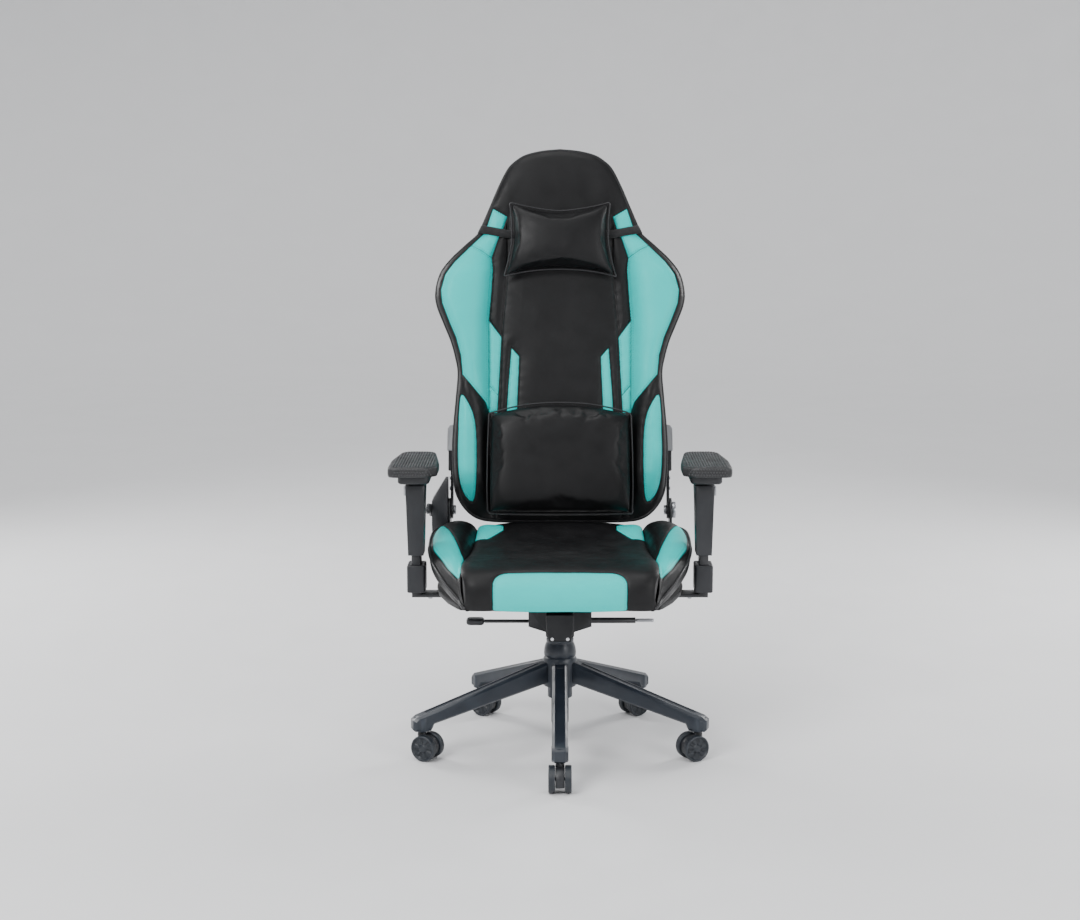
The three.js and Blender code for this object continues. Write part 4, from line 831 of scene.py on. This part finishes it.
def seat_centre():
    path = curve(SEAT_PATH, 260)
    steps = np.linalg.norm(np.diff(path, axis=0), axis=1)
    way = np.r_[0, np.cumsum(steps)]
    rise = way[-1] - way  # from the bottom of the front upwards
    along_y = np.gradient(path[:, 0])
    along_z = np.gradient(path[:, 1])
    length = np.hypot(along_y, along_z)
    normal = np.stack([along_z / length, -along_y / length], -1)
    spread = math.pi / 2 * 0.94
    u = np.sin(np.linspace(-1, 1, 190) * spread) / math.sin(spread)
    flare = seat_half_width(path[:, 0])
    x = flare[:, None] * u[None, :]
    front = (path[:, 0] < -200) & (path[:, 1] < FRONT_PATCH_TOP + 6)
    top_rise = np.interp(FRONT_PATCH_TOP, path[front][::-1, 1], rise[front][::-1])

    rise_grid = np.broadcast_to(rise[:, None], x.shape)
    y_grid = np.broadcast_to(path[:, :1], x.shape)
    panel = rounded_box(x, rise_grid, FRONT_PATCH_HALF_WIDTH, top_rise, FRONT_PATCH_CORNER)
    on_top = (rise_grid > 150) & (y_grid < 145)
    plan = np.column_stack([np.abs(x).ravel(), y_grid.ravel()])
    arrow, _, _ = patch_field(plan, [ARROW_PATCH])
    arrow = np.where(on_top, arrow.reshape(x.shape), -60.0)
    teal = np.maximum(panel, arrow)
    edge = flare[:, None] - np.abs(x)
    seam = np.minimum(np.abs(teal), 40)
    roll = 10 * (1 - np.sqrt(1 - (1 - np.clip(edge / 26, 0, 1)) ** 2))
    crown = 5 * (1 - (x / flare[:, None]) ** 2) - 5
    puff = seam_puff(seam, 4.0, 15, 2.0, 2.2) - 4.0
    flat = np.column_stack([x.ravel(), y_grid.ravel(), np.broadcast_to(path[:, 1:], x.shape).ravel()])
    soft = ripple(flat, 60, 2).reshape(x.shape) * 1.4
    offset = -roll + crown + puff + soft + 2.5
    points = np.stack([
        x, y_grid + offset * normal[:, :1], path[:, 1:] + offset * normal[:, 1:],
    ], -1)
    points[..., 2] = np.maximum(points[..., 2], 373.8)
    base = points[[-1, 0]].copy()
    base[..., 2] = 373.6
    base[0, :, 1] += 6
    base[1, :, 1] -= 6
    points = np.concatenate([points, base])
    fields = {}
    for key, values, filler in (("teal", teal, -60.0), ("seam", seam, 40.0), ("along", x + rise_grid, 0.0)):
        fields[key] = np.r_[values.ravel(), np.full(2 * x.shape[1], filler)]
    rows, columns = points.shape[:2]
    order = np.arange(rows * columns).reshape(rows, columns)
    faces = grid(rows, columns, wrap=False)
    last, first = order[-1], order[0]
    faces += [[last[i], last[i + 1], first[i + 1], first[i]] for i in range(columns - 1)]
    faces += [list(order[:, 0]), list(order[::-1, -1])]
    piece = make(
        "seat_centre_cover", row_frame(points.reshape(-1, 3)), faces, SEWN, "seat", "black_leather",
        ["seat_cushion"], fields=fields,
    )


# Stations along a bolster: y, seam x and z, crest x and z, ridge x and z, foot x.
BOLSTER_STATIONS = np.array([
    (150, 184, 456, 222, 476, 250, 466, 232),
    (140, 185, 460, 228, 485, 262, 470, 240),
    (120, 186, 459, 232, 488, 274, 471, 248),
    (85, 189, 456, 238, 488, 284, 470, 254),
    (40, 193, 454, 243, 486, 287, 465, 256),
    (0, 195, 453, 244, 483, 287, 459, 256),
    (-40, 199, 453, 244, 479, 286, 454, 254),
    (-80, 202, 453, 242, 474, 281, 447, 248),
    (-120, 206, 454, 238, 466, 271, 437, 240),
    (-160, 208, 454, 232, 457, 257, 425, 230),
    (-195, 208, 452, 226, 446, 242, 412, 221),
    (-225, 208, 447, 219, 430, 226, 401, 213),
    (-250, 207, 434, 212, 412, 212, 391, 204),
    (-270, 205, 412, 206, 396, 205, 384, 198),
    (-284, 199, 390, 200, 384, 198, 379, 194),
], float)
BOLSTER_FOOT = 373.6
BOLSTER_PATCH = [
    (262, 96), (207, -130), (200, -200), (204, -236), (214, -226), (234, -190), (249, -150), (266, -100),
    (276, -60), (281, 0), (281, 40), (277, 78), (271, 96),
]


def bolster_section(station, size):
    """One closed section: seam, over the crest to the ridge, round the belly, and back inside."""
    _, seam_x, seam_z, crest_x, crest_z, ridge_x, ridge_z, foot_x = station
    drop = ridge_z - BOLSTER_FOOT
    top = curve([
        (seam_x - 4, seam_z - 12), (seam_x + 1, seam_z - 1), (seam_x + 0.40 * (crest_x - seam_x), seam_z
         + 0.72 * (crest_z - seam_z)), (crest_x, crest_z), (crest_x + 0.62 * (ridge_x - crest_x), crest_z
         - 0.30 * (crest_z - ridge_z)), (ridge_x, ridge_z),
    ], size)
    belly = curve([
        (ridge_x, ridge_z), (ridge_x + 0.5, ridge_z - 0.16 * drop), (ridge_x - 4, ridge_z - 0.45 * drop),
        (foot_x + 0.45 * (ridge_x - foot_x), BOLSTER_FOOT + 0.22 * drop), (foot_x, BOLSTER_FOOT),
    ], size // 2)
    inner = np.array([(seam_x - 10, BOLSTER_FOOT), (seam_x - 10, seam_z - 16)])
    return np.vstack([top, belly[1:], inner])


def seat_bolster(side_name, side):
    stations = curve(BOLSTER_STATIONS, 170)
    top_size = 64
    rings = []
    for station in stations:
        section = bolster_section(station, top_size)
        rings.append(np.column_stack([section[:, 0], np.full(len(section), station[0]), section[:, 1]]))
    rings = np.array(rings)
    flat = rings.reshape(-1, 3)
    column = np.tile(np.arange(rings.shape[1]), len(rings))
    on_top = (column >= 2) & (column < top_size)
    plan = flat[:, :2]
    ridge = BOLSTER_STATIONS[:, [5, 0]]
    seam = BOLSTER_STATIONS[:, [1, 0]]
    fields = seam_field(plan, [], [curve(BOLSTER_PATCH, 60, True)])
    ridge_distance, _ = line_distance(plan, ridge)
    seam_distance, _ = line_distance(plan, seam)
    quiet = ease(np.minimum(ridge_distance, seam_distance), 1, 10) * on_top
    distance = fields["seam"]
    lift = seam_puff(distance, 3.0, 14, 2.0, 2.2) - 1.5
    soft = 1.2 * ripple(flat * np.array([side, 1, 1]), 45, 3)
    flat[:, 2] += quiet * (lift + soft)
    fields["teal"] = np.where(on_top, fields["teal"], -60)
    fields["seam"] = np.where(on_top, distance, 40)
    flat[:, 0] *= side
    size = rings.shape[1]
    faces = grid(len(rings), size)
    faces += [list(range(size)), [(len(rings) - 1) * size + i for i in range(size)]]
    piece = make(
        f"seat_bolster_cover_{side_name}", row_frame(flat), faces, SEWN, "seat", "black_leather",
        [f"seat_bolster_{side_name}"], fields=fields,
    )
    path = curve(BOLSTER_STATIONS[:, [5, 0, 6]], 150)
    path = np.vstack([[path[0] - (4, 0, 30)], [path[0] - (0, 0, 8)], path])
    path = curve(path, 180) * np.array([side, 1, 1])
    tube(f"seat_piping_{side_name}", row_frame(path), 3.8 * MM, PIPING_LEATHER, "seat", "black_leather")


# ---------------------------------------------
# Armrest pads
# ---------------------------------------------

RIB_COUNT = 17
RIB_SECTION = [(-1.9, -0.6), (-1.75, 0.45), (-1.1, 0.9), (0, 1.0), (1.1, 0.9), (1.75, 0.45), (1.9, -0.6)]
RIB_ENDS = [(0.0, 0.2), (0.012, 0.75), (0.03, 1.0), (0.5, 1.0), (0.97, 1.0), (0.988, 0.75), (1.0, 0.2)]


def node_ring(node, level):
    """The outline of a node's flat face at a height, as an ordered loop in row-frame metres."""
    mesh = NODES[node].data
    points = coordinates(mesh)
    near = points[np.abs(points[:, 2] - level) < 2e-5][:, :2]
    near = np.unique(np.round(near, 6), axis=0)
    middle = near.mean(0)
    order = np.argsort(np.arctan2(near[:, 1] - middle[1], near[:, 0] - middle[0]))
    return near[order]


def inset_loop(loop, amount):
    """A convex loop, listed anticlockwise, pulled in by an even amount."""
    result = []
    for before, here, after in zip(np.roll(loop, 1, 0), loop, np.roll(loop, -1, 0)):
        a = here - before
        b = after - here
        a /= np.hypot(*a)
        b /= np.hypot(*b)
        inward = np.array([-(a[1] + b[1]), a[0] + b[0]])
        inward /= max(np.hypot(*inward), 1e-9)
        lean = max(inward @ np.array([-a[1], a[0]]), 0.3)
        result.append(here + inward * amount / lean)
    return np.array(result)


def dome(centre, axis, across, radius, height, segments=10):
    """A small round bump whose foot is on a face."""
    axis = np.asarray(axis, float)
    across = np.asarray(across, float)
    other = np.cross(axis, across)
    angles = np.linspace(0, 2 * math.pi, segments, endpoint=False)[:, None]
    rings = []
    for share, lift in ((1.0, -0.5), (0.96, 0.3), (0.7, 0.8), (0.25, 1.0)):
        rings.append(np.asarray(centre) + axis * height * lift
                     + radius * share * (np.cos(angles) * across + np.sin(angles) * other))
    return closed_rings(rings)


def arm_pad(side_name):
    node = f"arm_pad_{side_name}"
    low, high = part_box(node)
    mesh_points = coordinates(NODES[node].data)
    waist = mesh_points[(mesh_points[:, 2] > low.z + 0.003) & (mesh_points[:, 2] < high.z - 0.003)]
    level = waist[0][2]
    loop = node_ring(node, level)
    loop = even(np.vstack([loop, loop[:1]]), 160, True)
    smooth = loop
    for _ in range(4):
        smooth = (np.roll(smooth, 1, 0) + 2 * smooth + np.roll(smooth, -1, 0)) / 4
    steps = [(4.5, low.z), (1.6, low.z + 0.0006), (0.4, low.z + 0.0035), (0.0, low.z + 0.008),
             (0.0, high.z - 0.009), (0.8, high.z - 0.0045), (3.0, high.z - 0.0022), (6.0, high.z - 0.0016),
             (10.0, high.z - 0.0016)]
    rings = []
    for inset, z in steps:
        ring = inset_loop(smooth, inset * MM)
        rings.append(np.column_stack([ring, np.full(len(ring), z)]))
    parts = [closed_rings(rings)]
    plan = inset_loop(smooth, 7.0 * MM)
    for rib in np.linspace(low.x + 0.006, high.x - 0.006, RIB_COUNT):
        crossing = plan_crossings(plan, rib)
        if crossing is None or crossing[1] - crossing[0] < 0.03:
            continue
        parts.append(rib_body(rib, *crossing, high.z - 0.0020, 0.0021))
    front_y = low.y
    for row, z in enumerate(np.linspace(low.z + 0.006, high.z - 0.0065, 3)):
        for x in np.arange(low.x + 0.014 + 0.003 * (row % 2), high.x - 0.012, 0.006):
            y = plan_front(smooth, x)
            if y is not None and y < front_y + 0.016:
                parts.append(dome((x, y, z), (0, -1, 0), (1, 0, 0), 0.0021, 0.0010, 8))
    points, faces = join(parts)
    piece = make(f"arm_pad_cover_{side_name}", points, faces, PAD_MAT, node, "soft_pad", [node])


def plan_crossings(loop, x):
    ys = []
    for a, b in zip(loop, np.roll(loop, -1, 0)):
        if (a[0] > x) != (b[0] > x):
            ys.append(a[1] + (b[1] - a[1]) * (x - a[0]) / (b[0] - a[0]))
    return (min(ys), max(ys)) if len(ys) >= 2 else None


def plan_front(loop, x):
    crossing = plan_crossings(loop, x)
    return crossing[0] if crossing else None


def rib_body(x, y0, y1, z, height):
    """A low rounded rib along Y."""
    rings = []
    for share, rise in RIB_ENDS:
        y = y0 + share * (y1 - y0)
        rings.append([(x + a * MM, y, z + height * b * rise) for a, b in RIB_SECTION])
    return closed_rings(rings)


# ---------------------------------------------
# Casters, column and base
# ---------------------------------------------

WHEEL_RADIUS = 29.0
CASTER_TRAIL = 14.0  # from the swivel's axis to the axle
PETALS = 7
WHEEL_GAP = 10.3


def wheel_profile():
    """Radius, distance out from the inner face, and how much of the petal relief applies."""
    return [
        (3.9, 0.0, 0), (20.0, 0.0, 0), (26.6, 0.0, 0), (28.2, 0.7, 0), (28.9, 2.2, 0), (29.0, 4.2, 0),
        (28.7, 4.8, 0), (28.7, 5.4, 0), (29.0, 6.0, 0), (29.0, 8.4, 0), (28.7, 9.0, 0), (28.7, 9.6, 0),
        (29.0, 10.2, 0), (28.9, 12.0, 0), (28.2, 13.4, 0), (26.9, 14.0, 0), (25.4, 14.0, 0),
        (24.7, 13.4, 0), (24.3, 11.4, 0), (23.6, 10.9, 0), (22.4, 10.8, 0.3), (21.2, 10.8, 1),
        (19.5, 10.9, 1), (17.0, 11.0, 1), (14.0, 11.1, 1), (11.4, 11.2, 1), (9.8, 11.3, 0.4),
        (8.8, 11.4, 0), (8.2, 12.6, 0), (7.2, 13.3, 0), (5.0, 13.6, 0), (3.0, 13.7, 0), (0.3, 13.7, 0),
    ]


def wheel_points(segments=112):
    """A wheel about +Z, its inner face at z = 0."""
    angles = np.linspace(0, 2 * math.pi, segments, endpoint=False)
    rows = []
    for radius, out, relief in wheel_profile():
        lobe = np.cos(PETALS * angles + 0.06 * radius)
        bowl = -2.6 * relief * ease(lobe, -0.05, 0.35)
        rows.append(np.stack([radius * np.cos(angles), radius * np.sin(angles), out + bowl], -1))
    return closed_rings(rows)


def placed_wheel(name, node, body, swivel, heading, side):
    points, faces = wheel_points()
    axle = np.array([-math.sin(heading), math.cos(heading), 0.0]) * side
    ahead = np.array([math.cos(heading), math.sin(heading), 0.0])
    up = np.array([0.0, 0.0, 1.0])
    centre = swivel + MM * (CASTER_TRAIL * ahead + WHEEL_RADIUS * up + WHEEL_GAP * axle)
    placed = centre + MM * (points[:, :1] * ahead + points[:, 1:2] * up + points[:, 2:] * axle)
    make(name, placed, faces, WHEEL_MAT, body, "wheel_nylon", [node])


def caster_body(index, swivel, heading):
    """The body between the wheels, its neck, its hood lip and the axle cap."""
    ahead = np.array([math.cos(heading), math.sin(heading), 0.0])
    side = np.array([-math.sin(heading), math.cos(heading), 0.0])
    up = np.array([0.0, 0.0, 1.0])

    def placed(points):
        points = np.asarray(points, float)
        return swivel + MM * (points[..., :1] * ahead + points[..., 1:2] * side + points[..., 2:] * up)

    arc = np.radians(np.linspace(-34, 214, 44))
    rings = []
    for y, inset in ((-9.7, 2.4), (-9.2, 0.8), (-7.6, 0.0), (7.6, 0.0), (9.2, 0.8), (9.7, 2.4)):
        r = 24.6 - inset
        rings.append(np.stack([
            CASTER_TRAIL + r * np.cos(arc), np.full(len(arc), y), WHEEL_RADIUS + r * np.sin(arc),
        ], -1))
    parts = [closed_rings([placed(ring) for ring in rings])]
    neck, neck_faces = turned([
        (0.2, 40), (9.4, 40), (9.6, 57.5), (8.6, 59.5), (9.6, 61.6), (9.6, 63.4), (6.0, 63.7),
        (5.5, 64.0), (5.5, 83.8), (0.2, 83.8),
    ], 40)
    parts.append((placed(neck), neck_faces))
    axle, axle_faces = turned([(0.2, -22), (3.4, -22), (3.4, 22), (0.2, 22)], 24)
    axle = np.stack([axle[:, 0] + CASTER_TRAIL, axle[:, 2], axle[:, 1] + WHEEL_RADIUS], -1)
    parts.append((placed(axle), axle_faces))
    points, faces = join(parts)
    make(f"caster_body_{index}", points, faces, NYLON_MAT, f"caster_{index}", "black_nylon",
         [f"caster_housing_{index}"])


def casters():
    joints = {joint["name"]: joint for joint in frame["joints"]}
    for index in range(1, 6):
        swivel = np.array([*joints[f"caster_swivel_{index}"]["pos_m"][:2], 0.0])
        axis = joints[f"wheel_spin_{index}_left"]["axis"]
        heading = math.atan2(-axis[0], axis[1])
        caster_body(index, swivel, heading)
        for side_name, side in SIDES:
            placed_wheel(
                f"caster_tyre_{index}_{side_name}", f"caster_wheel_{index}_{side_name}",
                f"wheel_{index}_{side_name}", swivel, heading, side,
            )


def dust_cover():
    profile = [
        (22.4, 208.4), (34.8, 208.4), (35.6, 209.4), (35.9, 216), (35.4, 222), (34.2, 228), (32.2, 234),
        (30.4, 238), (29.6, 240.6), (30.6, 241.8), (30.8, 245.6), (29.6, 247.8), (22.4, 247.8),
    ]
    points, faces = turned(profile + profile[:1], 72)
    make("column_cover", row_frame(points), faces, BASE_MAT, "base", "black_nylon", ["dust_cover"], weld=1e-7)


# ---------------------------------------------
# CAD nodes that stay in view
# ---------------------------------------------

def dress(node, material, bevel, segments):
    """A CAD node's finish, with its flat faces merged and its edges rounded by modifiers."""
    piece = NODES[node]
    piece.data.materials.clear()
    piece.data.materials.append(material)
    for polygon in piece.data.polygons:
        polygon.use_smooth = True
    merge = piece.modifiers.new("merge", "WELD")
    merge.merge_threshold = 1e-6
    flats = piece.modifiers.new("flats", "DECIMATE")
    flats.decimate_type = "DISSOLVE"
    flats.angle_limit = math.radians(0.6)
    if bevel:
        edges = piece.modifiers.new("edges", "BEVEL")
        edges.width = bevel * MM
        edges.segments = segments
        edges.limit_method = "ANGLE"
        edges.angle_limit = math.radians(32)
        edges.use_clamp_overlap = True
        edges.harden_normals = True


# Node, material, bevel width in millimetres and bevel segments.
DRESSED = [
    ("star_base", BASE_MAT, 1.2, 2), ("gas_tube", PAINT_MAT, 0.8, 2), ("gas_piston", CHROME_MAT, 0.6, 2),
    ("tilt_housing", PAINT_MAT, 1.0, 2), ("tilt_spring", STEEL_MAT, 0, 2),
    ("tension_knob", NYLON_MAT, 1.0, 2), ("height_lever", PAINT_MAT, 0.8, 2),
    ("height_lever_grip", NYLON_MAT, 1.5, 2), ("lock_lever", PAINT_MAT, 0.8, 2),
    ("lock_lever_grip", STEEL_MAT, 0.8, 2), ("seat_plate", PAINT_MAT, 0.8, 2),
    ("seat_pan", CLOTH_MAT, 2.0, 2), ("back_frame", STEEL_MAT, 0, 2),
    ("recliner_cover", NYLON_MAT, 2.0, 3), ("recliner_spring", STEEL_MAT, 0.8, 2),
    ("recline_lever", NYLON_MAT, 1.5, 2),
]
DRESSED_IN_PAIRS = [
    ("arm_bracket", PAINT_MAT, 1.2, 2), ("arm_collar", NYLON_MAT, 1.2, 2),
    ("arm_sleeve", NYLON_MAT, 1.0, 2), ("arm_button", STEEL_MAT, 1.4, 3),
    ("arm_pad_base", NYLON_MAT, 1.2, 2), ("recliner_lower", PAINT_MAT, 0.8, 2),
    ("recliner_pin", STEEL_MAT, 0.6, 2), ("recliner_upper", PAINT_MAT, 0.8, 2),
]


def dress_nodes():
    for node, *finish in DRESSED:
        dress(node, *finish)
    for side_name, _ in SIDES:
        for node, *finish in DRESSED_IN_PAIRS:
            dress(f"{node}_{side_name}", *finish)


PLATE_FACES = (257.8, 252.0)  # outer faces of the lower and upper recliner plates
BRACKET_UNDERSIDE = 352.7
LOWER_PLATE_BOLTS = ((198, 398), (216, 398), (150, 366), (110, 366))  # y, z
BRACKET_BOLTS = ((226, -54), (226, -26), (284, -54), (284, -26))  # x, y
UPPER_PLATE_BOLTS = (78, 102)  # s, at the recline joint's own n
SHIELD_SCREW = (17, 263)  # x, z


def hex_head(centre, axis, across, radius, height):
    """A washer and a chamfered hexagon head whose foot is on a face; sizes in millimetres."""
    centre, axis, across = (np.asarray(value, float) for value in (centre, axis, across))
    other = np.cross(axis, across)
    parts = []
    for sides, steps in ((24, [(1.42, -0.4), (1.42, 0.22), (1.34, 0.30)]),
                         (6, [(1.0, 0.1), (1.0, 0.86), (0.86, 1.0), (0.5, 1.0), (0.42, 0.72)])):
        angles = np.linspace(0, 2 * math.pi, sides, endpoint=False)[:, None]
        ring = np.cos(angles) * across + np.sin(angles) * other
        rings = [centre + axis * height * lift + radius * share * ring for share, lift in steps]
        parts.append(closed_rings(np.array(rings)))
    return join(parts)


def fastenings():
    """Hex bolts on the recliner's plates, the arm brackets and the mechanism's shield."""
    seat, back = [], []
    for _, side in SIDES:
        axis, across = (side, 0, 0), (0, 0, 1)
        for y, z in LOWER_PLATE_BOLTS:
            seat.append(hex_head((side * PLATE_FACES[0], y, z), axis, across, 4.4, 3.6))
        for x, y in BRACKET_BOLTS:
            seat.append(hex_head((side * x, y, BRACKET_UNDERSIDE), (0, 0, -1), (1, 0, 0), 4.6, 3.6))
        for s in UPPER_PLATE_BOLTS:
            points, faces = hex_head((side * PLATE_FACES[1], 0, 0), axis, across, 4.2, 3.2)
            placed = back_frame_points(points[:, 0], s + points[:, 2], RECLINE_N + points[:, 1])
            back.append((placed, faces))
    points, faces = join(seat)
    make("seat_bolts", row_frame(points), faces, STEEL_MAT, "seat", "steel", smooth=False)
    make("back_bolts", *join(back), STEEL_MAT, "backrest", "steel", smooth=False)
    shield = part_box("tilt_housing")[0].y / MM - COLUMN_Y
    x, z = SHIELD_SCREW
    screws = [hex_head((side * x, shield, z), (0, -1, 0), (1, 0, 0), 2.6, 2.2) for _, side in SIDES]
    points, faces = join(screws)
    make("shield_screws", row_frame(points), faces, CHROME_MAT, "mechanism", "steel", smooth=False)


def plate_caps():
    """Light padding at the top of each upper recliner plate, with its outer corner sloped off."""
    profile = [(245.9, 164), (259.6, 164), (260.4, 166), (260.2, 192), (259.4, 216), (254.0, 223.5),
               (245.9, 224.5)]
    for side_name, side in SIDES:
        middle = (252.0, 194.0)
        rings = []
        for n, inset in ((-58.5, 2.5), (-57.6, 0.6), (-55, 0), (-21, 0), (-18.4, 0.6), (-17.5, 2.5)):
            ring = [(x + inset * np.sign(middle[0] - x) * 0.6, s + inset * np.sign(middle[1] - s))
                    for x, s in profile]
            rings.append(back_frame_points([side * x for x, _ in ring], [s for _, s in ring], n))
        loft(f"plate_padding_{side_name}", rings, GREY_MAT, "backrest", "black_nylon", smooth=False)


# ---------------------------------------------
# Camera, light and floor
# ---------------------------------------------

def camera():
    data = bpy.data.cameras.new("camera")
    data.sensor_width = 36
    data.lens = 64.5
    data.shift_x = -0.0185
    data.clip_end = 400
    eye = bpy.data.objects.new("camera", data)
    eye.location = (0.0, -4.225, 1.2948)
    eye.rotation_euler = (math.radians(90 - 8.76), 0, 0)
    bpy.context.scene.collection.objects.link(eye)
    bpy.context.scene.camera = eye


def area_light(name, place, target, size, power):
    data = bpy.data.lights.new(name, "AREA")
    data.shape = "RECTANGLE"
    data.size, data.size_y = size
    data.energy = power
    lamp = bpy.data.objects.new(name, data)
    lamp.location = place
    lamp.rotation_euler = (Vector(target) - Vector(place)).to_track_quat("-Z", "Y").to_euler()
    bpy.context.scene.collection.objects.link(lamp)


# Name, place, target, width and height in metres, and power in watts.
LAMPS = [
    ("key", (-2.2, -3.2, 3.0), (0, 0, 0.8), (1.8, 1.4), 120),
    ("fill", (2.8, -2.8, 1.7), (0, 0, 0.8), (1.6, 1.8), 55),
    ("rim_left", (-2.3, 1.9, 1.9), (0, 0.1, 0.8), (0.8, 2.0), 60),
    ("rim_right", (2.3, 1.9, 1.9), (0, 0.1, 0.8), (0.8, 2.0), 60),
]


def studio():
    for lamp in LAMPS:
        area_light(*lamp)
    data = bpy.data.lights.new("overhead", "SUN")
    data.energy = 1.7
    data.angle = math.radians(50)
    overhead = bpy.data.objects.new("overhead", data)
    overhead.rotation_euler = (math.radians(12), math.radians(-10), 0)
    bpy.context.scene.collection.objects.link(overhead)
    world = bpy.data.worlds.new("studio")
    world.use_nodes = True
    background = world.node_tree.nodes["Background"]
    background.inputs[0].default_value = (0.90, 0.92, 0.94, 1)
    background.inputs[1].default_value = 0.42
    bpy.context.scene.world = world
    backdrop()


def backdrop():
    """A round studio floor that turns up into a wall, so no horizon shows from any side."""
    flat, bend = 7.0, 5.5
    profile = [(0.0, 0.0), (flat, 0.0)]
    for step in range(1, 25):
        angle = math.radians(90 * step / 24)
        profile.append((flat + bend * math.sin(angle), bend * (1 - math.cos(angle))))
    profile.append((flat + bend, bend + 2.0))
    segments = 96
    points = [(0.0, 0.0, 0.0)]
    for radius, height in profile[1:]:
        for step in range(segments):
            angle = 2 * math.pi * step / segments
            points.append((radius * math.cos(angle), radius * math.sin(angle), height))
    around = [(i, (i + 1) % segments) for i in range(segments)]
    faces = [(0, 1 + i, 1 + j) for i, j in around]
    for row in range(len(profile) - 2):
        low, high = 1 + row * segments, 1 + (row + 1) * segments
        faces += [(low + i, high + i, high + j, low + j) for i, j in around]
    mesh = bpy.data.meshes.new("floor")
    mesh.from_pydata(points, [], faces)
    for polygon in mesh.polygons:
        polygon.use_smooth = True
    mesh.materials.append(floor_finish())
    ground = bpy.data.objects.new("floor", mesh)
    bpy.context.scene.collection.objects.link(ground)


# ---------------------------------------------
# The chair
# ---------------------------------------------

dress_nodes()
back_upholstery()
back_piping()
head_pillow()
lumbar_pillow()
head_strap()
seat_centre()
for side_label, direction in SIDES:
    seat_bolster(side_label, direction)
    arm_pad(side_label)
casters()
dust_cover()
plate_caps()
fastenings()
camera()
studio()

bpy.context.view_layer.update()
